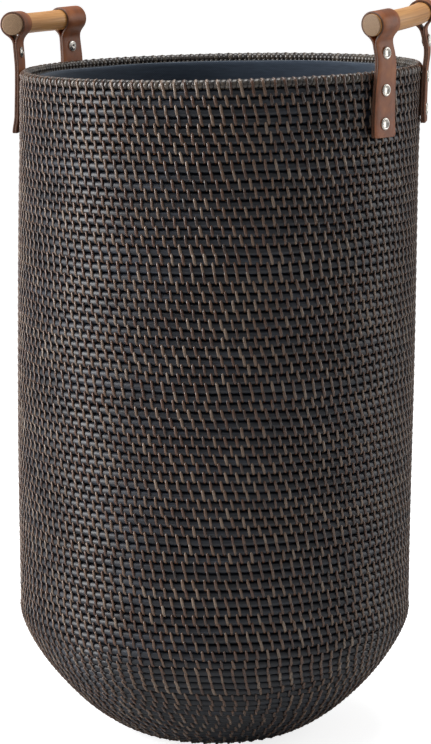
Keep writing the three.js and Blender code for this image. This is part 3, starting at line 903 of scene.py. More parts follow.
    def build(self, core: bpy.types.Material, peel: bpy.types.Material, binding: bpy.types.Material) -> list:
        """Makes the rods, the stitches and the rim.

        Args:
            core: the rods' material.
            peel: the lashing's material.
            binding: the material of the peel bound round the rim coil.

        Returns:
            The pieces.
        """
        inset = self.crown + self.rod / 2
        profile = self.profile_object(inset)
        line = self.outline(inset)
        lengths = np.concatenate([[0], np.cumsum(np.linalg.norm(np.diff(line, axis=0), axis=1))])
        foot_end = float(np.interp(self.foot_height, line[:, 1], lengths))
        rim_row = float(lengths[-1])
        rows = int((rim_row - self.pitch / 2) / self.pitch)
        start = rim_row - rows * self.pitch
        foot_rows = int((foot_end - start) / self.pitch)
        middle_row = (foot_rows + rows) // 2
        host = mesh_object("host", np.zeros((1, 3)), [], [])

        rods = rods_tree()
        strands = strands_tree()
        stitch = self.wall_strand()
        inner = self.wall_strand(-1.0)
        wrap = self.rim_wrap()
        over_rim = self.rim_strand()
        common = {"Profile": profile, "Pitch": self.pitch}
        pieces = []

        def lay_rods(name: str, first: int, count: int, steps: int, thickness: float) -> None:
            """Lays a rod on each of a run of rows."""
            values = {"Start": start + first * self.pitch, "Rows": count, "First Row": first}
            values |= {"Spacing": self.spacing, "Seed": 1, "Material": core}
            values |= {"Thickness": thickness, "Sides": 12, "Steps": steps}
            pieces.append(rods.apply(name, host, common | values))

        def lay_strands(
            name: str, first: int, count: int, spacing: float,
            shape: bpy.types.Object, seed: int, jitter: tuple,
        ) -> None:
            """Lays strands on each of a run of rows, with jitter as (lean, size)."""
            values = {"Start": start + first * self.pitch, "Rows": count, "First Row": first}
            dress = binding if shape in (wrap, inner) else peel
            values |= {"Spacing": spacing, "Seed": seed, "Material": dress, "Strand": shape}
            values |= {"Lean Jitter": jitter[0], "Size Jitter": jitter[1]}
            pieces.append(strands.apply(name, host, common | values))

        lay_rods("foot_coils", 0, foot_rows, 120, self.rod)
        lay_rods("lower_wall_coils", foot_rows, middle_row - foot_rows, 144, self.rod)
        lay_rods("upper_wall_coils", middle_row, rows - middle_row, 144, self.rod)
        uneven = (math.radians(3.5), 0.14)
        lay_strands("foot_lashing", 0, foot_rows, self.spacing * 1.08, stitch, 11, uneven)
        lay_strands("lower_wall_lashing", foot_rows, middle_row - foot_rows, self.spacing, stitch, 23, uneven)
        lay_strands("upper_wall_lashing", middle_row, rows - middle_row - 1, self.spacing, stitch, 37, uneven)
        lay_strands("rim_lashing", rows - 1, 1, self.spacing, over_rim, 39, uneven)
        lay_rods("rim_core", rows, 1, 144, self.coil_thickness - 1.4 * MM)
        lay_strands("rim_wrapping", rows, 1, self.rim_spacing, wrap, 41, (math.radians(5), 0.06))
        lay_strands("rim_inner_lashing", rows - 1, 1, self.rim_spacing, inner, 43, (math.radians(4), 0.1))
        for piece in pieces:
            self.weave.apply(piece)
            report_piece(piece)
        for helper in (host, profile, stitch, inner, wrap, over_rim):
            bpy.data.objects.remove(helper)
        return pieces


# ---------------------------------------------------------------------------- liner


@dataclass
class CanvasLiner:
    """The sewn-in laundry bag: a draped canvas bag and its doubled, top-stitched hem."""

    shell: WovenShell
    standoff: float = 13.4 * MM  # from the shell's outer face to the canvas
    canvas: float = 1.3 * MM
    floor: float = 11.0 * MM
    hem_height: float = 26.0 * MM
    hem_thickness: float = 2.4 * MM
    top: float = 0.6680
    cut_width: float = 1.19
    cut_depth: float = 0.74
    stitch_pitch: float = 4.2 * MM

    def wall(self, inset: float, top: float) -> np.ndarray:
        """Traces the liner's profile, from the rim of its floor up to its top.

        Args:
            inset: how far inside the shell's outer face the line runs.
            top: the height it ends at.

        Returns:
            Points as (radius, height).
        """
        line = self.shell.outline(inset)
        line = line[(line[:, 1] >= self.floor) & (line[:, 1] < top - 1e-4)]
        start = np.array([[line[0, 0], self.floor]])
        return np.vstack([start, line[1:], [[line[-1, 0], top]]])

    def folds(self, angle: np.ndarray, height: np.ndarray) -> np.ndarray:
        """Says how far the canvas stands in from the wall: soft folds that grow downwards.

        Args:
            angle: round the hamper, in radians.
            height: above the floor, in metres.

        Returns:
            Distances in metres, never less than nothing.
        """
        free = 1 - smooth_step(self.top - 0.16, self.top - 0.03, height)
        wander = 0.5 * np.sin(2 * angle + 12.4 * height)
        fold = np.sin(11 * angle + 2 * wander) + 0.7 * np.sin(17 * angle - 2.3 + 6 * height + wander)
        fold += 0.5 * np.sin(29 * angle + 14 * height) + 0.8 * np.sin(5 * angle + 9 * height + 1)
        creases = 0.9 * np.sin(138 * height + 4 * np.sin(3 * angle)) * smooth_step(0.4, 0.05, height)
        slack = 1.3 * MM * (fold + 2.4) + 0.8 * MM * (creases + 0.9)
        return free * np.clip(slack, 0, None)

    def slump(self, angle: np.ndarray) -> np.ndarray:
        """Returns the hem's slack fold at the right rear and its smaller waves.

        Args:
            angle: round the hamper, in radians.

        Returns:
            How far the hem stands in, in metres.
        """
        away = (angle - math.radians(38) + math.pi) % TURN - math.pi
        fold = np.exp(-((away / 0.16) ** 2))
        return 3.4 * MM * fold + 0.5 * MM * (np.sin(7 * angle + 1) + 0.6 * np.sin(12 * angle) + 1.6)

    def build_bag(self, canvas: bpy.types.Material) -> bpy.types.Object:
        """Makes the bag as one closed skin of canvas with real thickness.

        Args:
            canvas: the bag's material.

        Returns:
            The bag.
        """
        line = self.wall(self.standoff, self.top)
        rows = 90
        lengths = np.concatenate([[0], np.cumsum(np.linalg.norm(np.diff(line, axis=0), axis=1))])
        even = np.linspace(0, lengths[-1], rows)
        radius = np.interp(even, lengths, line[:, 0])
        height = np.interp(even, lengths, line[:, 1])
        angle = np.linspace(0, TURN, 288, endpoint=False)
        rings = []
        for r, z in zip(radius, height):
            inwards = self.folds(angle, np.full_like(angle, z))
            reach = r - inwards - 0.9 * self.slump(angle) * smooth_step(self.top - 0.05, self.top, z)
            ripple = 0.8 * MM * np.sin(9 * angle) * smooth_step(0.06, 0.0, z - self.floor)
            rings.append(np.column_stack([reach * np.cos(angle), reach * np.sin(angle), z + np.abs(ripple)]))
        inner = []
        for share in (0.08, 0.25, 0.45, 0.65, 0.85):
            reach = radius[0] * share
            ruck = 3.3 * MM * (1 + np.sin(5 * angle + 4 * share)) * share * (1 - share)
            inner.append(np.column_stack([reach * np.cos(angle), reach * np.sin(angle), self.floor + ruck]))
        points, faces = swept_tube(np.array(inner + rings))
        faces = faces[:-1]  # the bag is open at its top
        bag = mesh_object("canvas_liner_bag", self.shell.weave.shift(points), faces, [canvas])
        facing = bag.modifiers.new("canvas thickness", "SOLIDIFY")
        facing.thickness = self.canvas
        facing.offset = -1.0
        return apply_modifiers(bag)

    def build_hem(self, canvas: bpy.types.Material) -> bpy.types.Object:
        """Makes the doubled band at the top, folded over and stitched down.

        Args:
            canvas: the hem's material.

        Returns:
            The hem.
        """
        angle = np.linspace(0, TURN, 360, endpoint=False)
        half = self.hem_thickness / 2
        section = [(-0.2, 0.0), (0.25, -0.6), (1.0, -0.7), (1.15, 0.3), (0.75, 1.2), (0.9, 3.0), (1.1, 12.0)]
        section += [(1.15, 22.0), (0.7, 25.2), (0.0, 26.0), (-0.8, 25.0), (-1.0, 14.0), (-1.0, 1.0)]
        radius = self.shell.weave.radius - self.standoff - self.canvas - half
        rings = []
        for a, slack in zip(angle, self.slump(angle)):
            wave = 0.35 * MM * math.sin(15 * a) + 0.3 * MM * math.sin(31 * a + 1)
            ring = []
            for inwards, up in section:
                share = up * MM / self.hem_height
                r = radius - inwards * half - slack * (0.35 + 0.65 * share)
                z = self.top - self.hem_height + up * MM + wave * (1 - share) - 0.45 * slack * share
                ring.append((r * math.cos(a), r * math.sin(a), z))
            rings.append(ring)
        points, faces = swept_tube(np.array(rings), closed=True)
        return mesh_object("canvas_liner_hem", self.shell.weave.shift(points), faces, [canvas])

    def build_stitches(self, canvas: bpy.types.Material) -> bpy.types.Object:
        """Makes the hem's row of top stitches.

        Args:
            canvas: the thread's material.

        Returns:
            One piece holding the stitches.
        """
        line = [(0.0, 0.0), (0.6, 0.9), (1.5, 1.2), (2.4, 0.9), (3.0, 0.0)]
        path = np.array([(0, u - 1.5, o) for u, o in line]) * MM
        stitch = self.shell.strand_object(path[:, [1, 0, 2]], np.full(5, 0.9 * MM), 0.5 * MM, along=1)
        radius = self.shell.weave.radius - self.standoff - self.canvas - self.hem_thickness - 0.2 * MM
        mesh = bpy.data.meshes.new("hem line")
        base = self.top - self.hem_height + 3.2 * MM
        mesh.from_pydata([(radius, 0, base + 0.1), (radius, 0, base)], [(0, 1)], [])
        line_object = bpy.data.objects.new("hem line", mesh)
        host = mesh_object("host", np.zeros((1, 3)), [], [])
        values = {"Profile": line_object, "Pitch": 0.1, "Start": 0.1, "Rows": 1, "Spacing": self.stitch_pitch}
        values |= {"First Row": 0, "Seed": 5, "Material": canvas, "Strand": stitch}
        values |= {"Lean Jitter": 0.03, "Size Jitter": 0.05}
        seam = strands_tree().apply("liner_hem_stitches", host, values)
        flat = np.empty(len(seam.data.vertices) * 3)
        seam.data.vertices.foreach_get("co", flat)
        points = flat.reshape(-1, 3)
        angle = np.arctan2(points[:, 1], points[:, 0])
        reach = np.hypot(points[:, 0], points[:, 1])
        nearer = 1 - self.slump(angle) * 0.42 / reach
        points[:, 0] *= nearer
        points[:, 1] *= nearer
        seam.data.vertices.foreach_set("co", self.shell.weave.shift(points).ravel())
        for helper in (host, line_object, stitch):
            bpy.data.objects.remove(helper)
        return seam


def apply_modifiers(obj: bpy.types.Object) -> bpy.types.Object:
    """Turns an object's modifiers into plain mesh.

    Args:
        obj: the object.

    Returns:
        The same object, with no modifier.
    """
    bpy.context.view_layer.update()
    depsgraph = bpy.context.evaluated_depsgraph_get()
    mesh = bpy.data.meshes.new_from_object(obj.evaluated_get(depsgraph), depsgraph=depsgraph)
    obj.modifiers.clear()
    obj.data = mesh
    mesh.shade_smooth()
    return obj


# ---------------------------------------------------------------------------- handles


class Side(Enum):
    """Which end of the hamper a handle is on: its sign along X."""

    LEFT = -1
    RIGHT = 1


class End(Enum):
    """Which end of a grip a strap holds: its sign along Y."""

    FRONT = -1
    REAR = 1


@dataclass(frozen=True)
class StrapHang:
    """How one strap hangs away from true: by ageing and handling."""

    bow: float = 0.8 * MM  # how far it bows out above the rim
    flare: float = 1.0 * MM  # how far its tail stands off the wall
    turn: float = 0.0  # extra twist at the tail, in radians


HANGS = {
    (Side.LEFT, End.FRONT): StrapHang(bow=0.6 * MM, flare=1.8 * MM, turn=math.radians(1.5)),
    (Side.LEFT, End.REAR): StrapHang(bow=0.8 * MM, flare=0.8 * MM),
    (Side.RIGHT, End.FRONT): StrapHang(bow=1.0 * MM, flare=0.9 * MM),
    (Side.RIGHT, End.REAR): StrapHang(bow=1.8 * MM, flare=0.6 * MM, turn=math.radians(1.5)),
}


# How far each handle leans outwards from upright at rest.
LEANS = {Side.LEFT: math.radians(7), Side.RIGHT: math.radians(-5)}


@dataclass
class HandleStance:
    """How a handle stands on its bending line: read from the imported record, and its own lean."""

    side: Side
    rise: float = 39.5 * MM  # bending line to the grip's middle
    bend: float = 0.255  # radius the grip is bent to, round the hamper
    reach: float = 0.058  # middle to either loop, along the bending line
    flex: float = 0.011  # how far above and below the bending line the straps bend

    def __post_init__(self) -> None:
        """Works out the handle's directions and the middle of the line between its loops."""
        joints = {j["name"]: j for j in frame["record"]["behaviour"]["joints"]}
        tilt = joints[f"{self.side.name.lower()}_handle_tilt"]
        lean = LEANS[self.side]
        self.hinge = Vector(tilt["pos_m"])
        self.axis = Vector(tilt["axis"]).normalized()
        if self.axis.y < 0:
            self.axis = -self.axis
        level = Vector((self.side.value, 0, 0))
        upright = level.cross(self.axis) * self.side.value
        self.up = (upright * math.cos(lean) + level * math.sin(lean)).normalized()
        self.out = (level * math.cos(lean) - upright * math.sin(lean)).normalized()
        self.centre = self.hinge + self.up * self.rise
        self.loop_turn = math.asin(self.reach / self.bend)

    def turned(self, angle: float) -> tuple[Vector, Vector]:
        """Returns the directions outwards and along the grip, at an angle round its bend.

        Args:
            angle: from the grip's middle, in radians.

        Returns:
            The two unit vectors.
        """
        outward = self.out * math.cos(angle) + self.axis * math.sin(angle)
        return outward, self.axis * math.cos(angle) - self.out * math.sin(angle)

    def on_bend(self, along: float) -> tuple[Vector, Vector]:
        """Returns a point on the grip's middle line, and the direction outwards there.

        Args:
            along: the distance from the grip's middle, round its bend.

        Returns:
            The point and the unit vector.
        """
        angle = along / self.bend
        outward, _ = self.turned(angle)
        middle = self.centre - self.out * (self.bend * math.cos(self.loop_turn)) + outward * self.bend
        return middle, outward


@dataclass
class LeatherStrap:
    """One strap: a strip folded over the grip, both plies riveted together and to the wall."""

    weave: HandWeave
    stance: HandleStance
    end: End
    spacing: float = 0.058
    ply: float = 2.15 * MM
    wall_radius: float = 0.20255
    bore: float = 10.75 * MM
    loop_width: float = 0.029
    neck_width: float = 0.028
    tail_width: float = 0.0335
    tail_drop: float = 0.063
    grip_rise: float = 0.045
    flex_rise: float = 5.5 * MM
    corner: float = 3.0 * MM

    def __post_init__(self) -> None:
        """Works out where the strap stands."""
        self.side = self.stance.side
        reach = math.sqrt(self.wall_radius**2 - self.spacing**2)
        self.azimuth = math.atan2(self.end.value * self.spacing, self.side.value * reach)
        self.out = Vector((math.cos(self.azimuth), math.sin(self.azimuth), 0))
        along = Vector((-self.out.y, self.out.x, 0))
        self.along = along if along.y > 0 else -along
        bending = self.stance.hinge + self.stance.axis * (self.end.value * self.spacing)
        self.level = bending.z - self.flex_rise
        self.hang = HANGS[(self.side, self.end)]
        self.top = self.stance.centre + self.stance.axis * (self.end.value * self.spacing)
        self.loop_out, self.loop_along = self.stance.turned(self.end.value * self.stance.loop_turn)

    @property
    def name(self) -> str:
        """The strap's name in the frame, such as left_front."""
        return f"{self.side.name}_{self.end.name}".lower()

    def width(self, rise: float) -> float:
        """Returns the strap's width at a height over the rim.

        Args:
            rise: the height over the rim, in metres; negative below it.

        Returns:
            The width in metres.
        """
        neck = self.grip_rise - 0.013
        if rise > neck:
            share = float(smooth_step(neck, self.grip_rise - 0.001, rise))
            return self.neck_width + (self.loop_width - self.neck_width) * share
        share = (neck - rise) / (neck + self.tail_drop)
        return self.neck_width + (self.tail_width - self.neck_width) * share

    def station(self, rise: float) -> tuple[Vector, Vector, Vector]:
        """Finds the strap's middle and directions at a height over the rim.

        Args:
            rise: the height over the rim, in metres; negative below it.

        Returns:
            The middle point, the unit vector outwards and the unit vector across.
        """
        seated = float(1 - smooth_step(-0.010, 0.026, rise))
        twisted = float(1 - smooth_step(-0.026, 0.048, rise))
        upper = self.top + self.stance.up * (rise - self.grip_rise)
        lower_place = Vector((*(self.out.xy * self.wall_radius), self.weave.rim_height + rise))
        lower = Vector(self.weave.shift(np.array([lower_place]))[0])
        lower.z = self.level + rise
        middle = upper.lerp(lower, seated)
        extra = self.hang.turn * twisted * self.end.value * -self.side.value
        across = self.loop_along.lerp(self.along, twisted).normalized()
        across = Vector((across.x * math.cos(extra) - across.y * math.sin(extra),
                         across.x * math.sin(extra) + across.y * math.cos(extra), across.z))
        outward = self.loop_out.lerp(self.out, twisted)
        outward = (outward - across * outward.dot(across)).normalized()
        bow_height, bow_reach = 0.010, 0.016
        bow = self.hang.bow * math.exp(-(((rise - bow_height) / bow_reach) ** 2))
        flare = self.hang.flare * float(smooth_step(-0.045, -self.tail_drop, rise))
        return middle + outward * (bow + flare), outward, across

    def ply_path(self) -> list:
        """Traces the strip's middle as (outwards, height over the rim), from tail to tail.

        Returns:
            The points in order, up one ply, over the grip and down the other.
        """
        half = self.ply / 2 + 0.06 * MM
        radius = self.bore + self.ply / 2
        low = math.radians(-50)
        start = Vector((radius * math.cos(low), radius * math.sin(low)))
        tangent = Vector((-math.sin(low), math.cos(low)))
        neck_drop = 0.0205
        neck = Vector((half, -neck_drop))
        climb = np.linspace(-self.tail_drop, self.grip_rise - neck_drop, 46)
        tips = self.tail_drop - self.corner * (1 - np.array([0.0, 0.3, 0.6, 0.85]))[::-1]
        heights = sorted(set(climb.tolist()) | set((-tips).tolist()))
        rise = [(half, h) for h in heights]
        # Each ply leaves the neck straight up and meets the loop along it.
        pull = neck + Vector((0, 0.0052))
        hold = start - tangent * 0.0055
        bend = []
        for t in np.linspace(0, 1, 8)[1:-1]:
            a, b = (1 - t) ** 3, 3 * (1 - t) ** 2 * t
            c, d = 3 * (1 - t) * t * t, t**3
            p = neck * a + pull * b + hold * c + start * d
            bend.append((p.x, p.y + self.grip_rise))
        sweep = np.linspace(low, math.pi / 2, 15)
        arc = [(radius * math.cos(v), radius * math.sin(v) + self.grip_rise) for v in sweep]
        outer = rise + bend + arc
        inner = [(-x, z) for x, z in reversed(outer[:-1])]
        return outer + inner

    def build(self, grain: bpy.types.Material, edge: bpy.types.Material) -> bpy.types.Object:
        """Makes the folded strip with rounded edges and a darker cut edge.

        Args:
            grain: the face's material.
            edge: the cut edge's material.

        Returns:
            The strap.
        """
        path = self.ply_path()
        steps = np.gradient(np.array(path), axis=0)
        rings = []
        for (outwards, rise), (dx, dz) in zip(path, steps):
            middle, outward, across = self.station(rise)
            upward = outward.cross(across)
            if upward.z < 0:
                upward = -upward
            length = math.hypot(dx, dz)
            face = outward * (dz / length) - upward * (dx / length)
            width = self.width(rise)
            short = self.tail_drop + rise
            if short < self.corner:
                width -= 2 * (self.corner - math.sqrt(max(self.corner**2 - (self.corner - short) ** 2, 0)))
            half, deep = width / 2, self.ply / 2
            lip = 0.45 * MM
            section = [(-half, -deep + lip), (-half + 0.3 * lip, -deep + 0.3 * lip), (-half + lip, -deep)]
            section += [(-half * 0.5, -deep), (half * 0.5, -deep), (half - lip, -deep)]
            section += [(half - 0.3 * lip, -deep + 0.3 * lip), (half, -deep + lip)]
            section += [(x, -y) for x, y in reversed(section)]
            centre = middle + outward * outwards
            cupped = float(smooth_step(0.010, 0.030, rise)) / (2 * self.stance.bend)
            rings.append([centre + across * s - outward * (s * s * cupped) + face * t for s, t in section])
        points, faces = swept_tube(np.array(rings))
        strap = mesh_object(f"{self.name}_strap", points, faces, [grain, edge])
        around = len(section)
        cut_edge = (0, 6, 7, 8, 14, 15)  # the steps of the section that lie on the strip's two sides
        for index, polygon in enumerate(strap.data.polygons):
            if len(polygon.vertices) > 4 or index % around in cut_edge:
                polygon.material_index = 1
        strap.data.set_sharp_from_angle(angle=math.radians(50))
        return strap

    def rivet_places(self) -> list:
        """Returns (height over the rim, whether it goes through the wall) for each rivet."""
        return [(0.017, False), (-0.018, True), (-0.050, True)]


@dataclass
class BentGrip:
    """A handle's wooden grip: a rod bent round the hamper, held in the loops of two straps."""

    stance: HandleStance
    length: float = 0.150
    radius: float = 10.6 * MM
    waist: float = 10.1 * MM
    ease: float = 1.0 * MM

    def profile(self) -> list:
        """Returns (along, radius) from end to end: a slim waist and eased arrises.

        Returns:
            The points in order.
        """
        half = self.length / 2
        ease = [(half - self.ease * (1 - math.sin(v)), self.radius - self.ease * (1 - math.cos(v)))
                for v in np.linspace(0, math.pi / 2, 5)]
        body = [(y, self.radius - (self.radius - self.waist) * math.cos(math.pi * y / self.length) ** 2)
                for y in np.linspace(0, half - self.ease, 16)[:-1]]
        right = body + ease
        return [(-y, r) for y, r in reversed(right[1:])] + right

    def build(self, grain: bpy.types.Material, end_grain: bpy.types.Material) -> bpy.types.Object:
        """Makes the rod, and keeps each point's place in the straight rod for its grain.

        Args:
            grain: the long-grain material.
            end_grain: the sawn ends' material.

        Returns:
            The grip.
        """
        around = np.linspace(0, TURN, 64, endpoint=False)
        rings, straight = [], []
        for y, r in self.profile():
            middle, outward = self.stance.on_bend(y)
            up = self.stance.up
            rings.append([middle + (outward * math.cos(v) + up * math.sin(v)) * r for v in around])
            straight += [(r * math.cos(v), y, r * math.sin(v)) for v in around]
        points, faces = swept_tube(np.array(rings))
        name = f"{self.stance.side.name.lower()}_turned_grip"
        rod = mesh_object(name, points, faces, [grain, end_grain])
        places = rod.data.attributes.new("rod", "FLOAT_VECTOR", "POINT")
        places.data.foreach_set("vector", [c for place in straight for c in place])
        sawn = self.length / 2 - self.ease * 1.01
        for polygon in rod.data.polygons:
            if all(abs(straight[v][1]) > sawn for v in polygon.vertices):
                polygon.material_index = 1
        rod.data.set_sharp_from_angle(angle=math.radians(40))
        return rod


@dataclass
class TubularRivets:
    """Nickel rivets: a rolled, dished head on a shank, set over a washer at the back.

    The depths run from the strap's outer face to the washer's seat, in millimetres.
    """

    loop_depth: float = 4.55
    wall_depth: float = 15.6

    def turned(self, name: str, profile: list) -> bpy.types.Object:
        """Revolves a closed profile of (radius, height), in millimetres, round Z.

        Args:
            name: the shape's name.
            profile: its points in order.

        Returns:
            The shape, which is not linked to the scene.
        """
        around = np.linspace(0, TURN, 20, endpoint=False)
        rings = [[(r * MM * math.cos(v), r * MM * math.sin(v), z * MM) for v in around] for r, z in profile]
        points, faces = swept_tube(np.array(rings))
        shape = mesh_object(name, points, faces, [])
        bpy.context.scene.collection.objects.unlink(shape)
        return shape

    def tree(self) -> Tree:
        """Builds the tree that sets one shape on each point, along the point's own aim.

        Returns:
            The tree, with the inputs Shape and Material.
        """
        tree = Tree("rivets set along their aims")
        shape = tree.value("Shape", "Object")
        material = tree.value("Material", "Material")
        inputs = {"Name": "aim"}
        aim = tree.add("GeometryNodeInputNamedAttribute", inputs, data_type="FLOAT_VECTOR")[0]
        inputs = {"Primary Axis": aim, "Secondary Axis": (0, 0, 1)}
        turn = tree.add("FunctionNodeAxesToRotation", inputs, primary_axis="Z", secondary_axis="Y")[0]
        source = tree.add("GeometryNodeObjectInfo", {"Object": shape})["Geometry"]
        inputs = {"Points": tree.entry["Geometry"], "Instance": source, "Rotation": turn}
        tree.finish(tree.add("GeometryNodeInstanceOnPoints", inputs)[0], material)
        return tree

    def set_row(self, name: str, seats: list, depth: float, metal: bpy.types.Material) -> list:
        """Sets rivets with their washers.

        Args:
            name: the piece's name.
            seats: (point on the strap's outer face, direction outwards) of each rivet.
            depth: from the strap's outer face to the washer's seat, in millimetres.
            metal: the rivets' material.

        Returns:
            Two pieces: one holding all the rivets, and one holding all the washers.
        """
        head = [(0.2, 0.1), (1.4, 0.15), (2.6, 0.25), (3.4, 0.6), (3.9, 1.2), (4.5, 1.58), (5.2, 1.5)]
        head += [(5.9, 1.0), (6.25, 0.35), (6.1, 0.0), (2.6, -0.1), (2.3, -0.4), (2.3, -depth), (0.2, -depth)]
        back = [(2.2, 0.05), (5.5, 0.05), (5.6, -0.6), (5.3, -1.15), (4.4, -1.4), (3.0, -1.4), (2.8, -1.9)]
        back += [(2.2, -2.1), (1.4, -1.7), (1.2, -0.6)]
        pieces = []
        rivets = self.tree()
        for shape_name, profile, sink in (("head", head, 0.0), ("washer", back, depth)):
            shape = self.turned(shape_name, profile)
            mesh = bpy.data.meshes.new("seats")
            mesh.from_pydata([tuple(p - d * sink * MM) for p, d in seats], [], [])
            aims = mesh.attributes.new("aim", "FLOAT_VECTOR", "POINT")
            aims.data.foreach_set("vector", [c for _, d in seats for c in d])
            host = bpy.data.objects.new("seats", mesh)
            bpy.context.scene.collection.objects.link(host)
            piece = rivets.apply(f"{name}_{shape_name}s", host, {"Shape": shape, "Material": metal})
            piece.data.shade_smooth()
            pieces.append(piece)
            for helper in (host, shape):
                bpy.data.objects.remove(helper)
        return pieces


# ---------------------------------------------------------------------------- studio


@dataclass
class Studio:
    """A white sweep under soft boxes, and a long lens at the hamper's three-quarter view."""

    azimuth: float = math.radians(23.5)
    distance: float = 2.80
    eye: float = 0.861
    pitch: float = math.radians(10.03)
    roll: float = math.radians(0.19)
    focal_share: float = 2808 / 744  # focal length over the frame's height

    def build_camera(self) -> None:
        """Makes the camera and gives it to the scene."""
        data = bpy.data.cameras.new("lens")
        data.sensor_fit = "VERTICAL"
        data.sensor_height = 24
        data.lens = 24 * self.focal_share
        data.clip_end = 200
        camera = bpy.data.objects.new("camera", data)
        bpy.context.scene.collection.objects.link(camera)
        turn = Matrix.Rotation(self.azimuth, 4, "Z") @ Matrix.Rotation(math.pi / 2 - self.pitch, 4, "X")
        turn = turn @ Matrix.Rotation(self.roll, 4, "Z")
        place = (self.distance * math.sin(self.azimuth), -self.distance * math.cos(self.azimuth), self.eye)
        camera.matrix_world = Matrix.Translation(place) @ turn
        bpy.context.scene.camera = camera

    def soft_box(self, name: str, place: tuple, size: tuple, power: float, colour: str = "#ffffff") -> None:
        """Hangs a rectangular soft box that faces the hamper's middle.

        Args:
            name: the light's name.
            place: where it hangs, turned with the camera.
            size: its width and height.
            power: in watts.
            colour: its sRGB colour.
        """
        data = bpy.data.lights.new(name, "AREA")
        data.shape = "RECTANGLE"
        data.size, data.size_y = size
        data.energy = power
        data.color = linear(colour)[:3]
        light = bpy.data.objects.new(name, data)
        bpy.context.scene.collection.objects.link(light)
        spot = Matrix.Rotation(self.azimuth, 3, "Z") @ Vector(place)
        aim = (Vector((0, 0, 0.38)) - spot).to_track_quat("-Z", "Y")
        light.matrix_world = Matrix.Translation(spot) @ aim.to_matrix().to_4x4()

    def build(self) -> None:
        """Makes the sweep, the world and the lights."""
        scene = bpy.context.scene
        scene.view_settings.view_transform = "Standard"
        world = bpy.data.worlds.new("white room")
        world.use_nodes = True
        sky = world.node_tree.nodes["Background"]
        sky.inputs["Color"].default_value = linear("#ffffff")
        sky.inputs["Strength"].default_value = 0.36
        scene.world = world
        paper = Material("matt white paper sweep")
        inputs = {"Vector": paper.place, "Scale": 3, "Detail": 2}
        mottle = paper.add("ShaderNodeTexNoise", inputs)["Fac"]
        stops = ((0.3, "#c9c9c9"), (0.7, "#cfcfcf"))
        paper.feed("Base Color", paper.add("ShaderNodeValToRGB", {"Fac": mottle}, stops=stops)["Color"])
        paper.set(Roughness=0.9, Specular_IOR_Level=0.1)
        paper.shader.inputs["Emission Color"].default_value = linear("#ffffff")
        seen = paper.add("ShaderNodeLightPath")["Is Camera Ray"]
        glow = paper.add("ShaderNodeMapRange", {"Value": seen, "To Min": 0.0, "To Max": 0.8})["Result"]
        paper.feed("Emission Strength", glow)
        reach = 60.0
        corners = [(-reach, -reach, 0), (reach, -reach, 0), (reach, reach, 0), (-reach, reach, 0)]
        floor = mesh_object("paper_sweep", np.array(corners), [(0, 1, 2, 3)], [paper.data])
        self.soft_box("left box", (-2.5, -0.5, 1.2), (1.2, 2.2), 88)
        self.soft_box("right box", (2.4, 0.6, 1.0), (1.0, 2.2), 18)
        self.soft_box("top box", (0.0, 0.2, 2.8), (1.8, 1.8), 44)


# ---------------------------------------------------------------------------- putting it together


def dress_shell(weave: HandWeave) -> WovenShell:
    """Builds the woven body on the basket and hides its plain solids.

    Args:
        weave: how the shell was woven.

    Returns:
        The shell, for what is fitted to it.
    """
    shell = WovenShell(weave)
    core = StainedRattanCore().build()
    peel = RattanPeelLashing().build()
    stands_for = {
        "foot_coils": ("woven_base", "woven_foot"),
        "lower_wall_coils": ("woven_wall",),
        "rim_wrapping": ("rim_coil",),
    }
    # The binding's palest tone is likewise painted sheen, the grey of light on the glossy peel.
    bound = RattanPeelLashing("stained peel rim binding", "#1b1714", "#332a24", "#4a4035", "#6c6054")
    for piece in shell.build(core, peel, bound.build()):
        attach(piece, "basket")
        "coil_rattan" if "coils" in piece.name or "core" in piece.name else "lashing_rattan"
        if piece.name in stands_for:
            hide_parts(*stands_for[piece.name])
    return shell


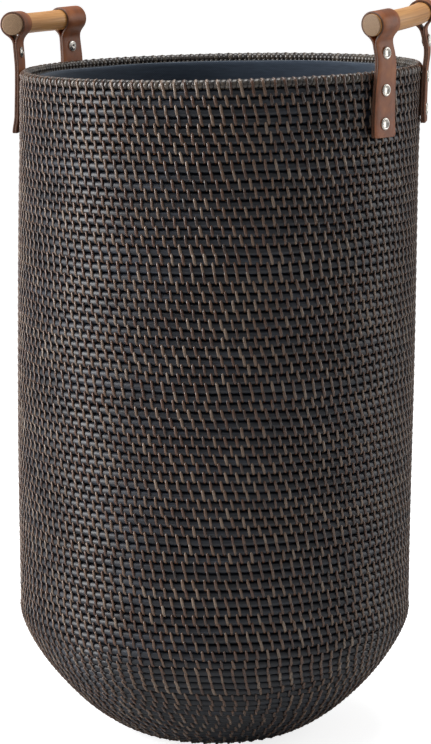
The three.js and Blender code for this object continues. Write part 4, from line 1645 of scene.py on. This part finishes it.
def dress_liner(shell: WovenShell) -> None:
    """Builds the liner on the basket.

    Args:
        shell: the woven shell that it hangs in.
    """
    liner = CanvasLiner(shell)
    bag = liner.build_bag(PlainCanvas(WeaveTone.BAG).build())
    # The hem and its stitches take the canvas painted lighter: painted light on the band at the top.
    doubled = PlainCanvas(WeaveTone.HEM).build()
    hem = liner.build_hem(doubled)
    seam = liner.build_stitches(doubled)
    for piece, slot in ((bag, "liner_canvas"), (hem, "liner_hem"), (seam, "liner_hem")):
        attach(piece, "basket")
        report_piece(piece)
    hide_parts("liner_bag")
    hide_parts("liner_hem_band")


def dress_handles(weave: HandWeave) -> None:
    """Builds the straps, grips and rivets: the grips and loop rivets on the handles' moving bodies, the wall
    rivets on the basket, and the straps on no body.

    Args:
        weave: how the shell was woven.
    """
    leather = HarnessLeather()
    grain, edge = leather.build(), leather.build_edge()
    wood = OiledHardwood()
    long_grain, end_grain = wood.build(), wood.build_end()
    metal = PlatedNickel().build()
    rivets = TubularRivets()
    wall_seats, wall_nodes = [], []
    for side in Side:
        stance = HandleStance(side)
        word = side.name.lower()
        rod = BentGrip(stance).build(long_grain, end_grain)
        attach(rod, f"{word}_handle")
        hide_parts(f"{word}_grip")
        report_piece(rod)
        loop_seats, loop_nodes = [], []
        for strap in (LeatherStrap(weave, stance, end) for end in End):
            piece = strap.build(grain, edge)
            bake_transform(piece)
            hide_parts(f"{strap.name}_strap_tail", f"{strap.name}_strap_loop")
            report_piece(piece)
            for rise, in_wall in strap.rivet_places():
                middle, outward, _ = strap.station(rise)
                seat = (middle + outward * (strap.ply + 0.12 * MM), outward)
                (wall_seats if in_wall else loop_seats).append(seat)
            for part in ("rivet", "burr"):
                loop_nodes.append(f"{strap.name}_loop_{part}")
                wall_nodes += [f"{strap.name}_{level}_{part}" for level in ("upper", "lower")]
        pieces = rivets.set_row(f"{word}_loop_rivet", loop_seats, rivets.loop_depth, metal)
        for piece, part in zip(pieces, ("rivet", "burr")):
            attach(piece, f"{word}_handle")
            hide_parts(*[n for n in loop_nodes if n.endswith(part)])
    pieces = rivets.set_row("wall_rivet", wall_seats, rivets.wall_depth, metal)
    for piece, part in zip(pieces, ("rivet", "burr")):
        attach(piece, "basket")
        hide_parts(*[n for n in wall_nodes if n.endswith(part)])


def main() -> None:
    """Builds the studio and then each sub-assembly in order."""
    logging.basicConfig(level=logging.INFO, format="%(name)s %(message)s")
    studio = Studio()
    studio.build_camera()
    weave = HandWeave()
    shell = dress_shell(weave)
    dress_liner(shell)
    dress_handles(weave)
    studio.build()


if __name__ == "__main__":
    main()
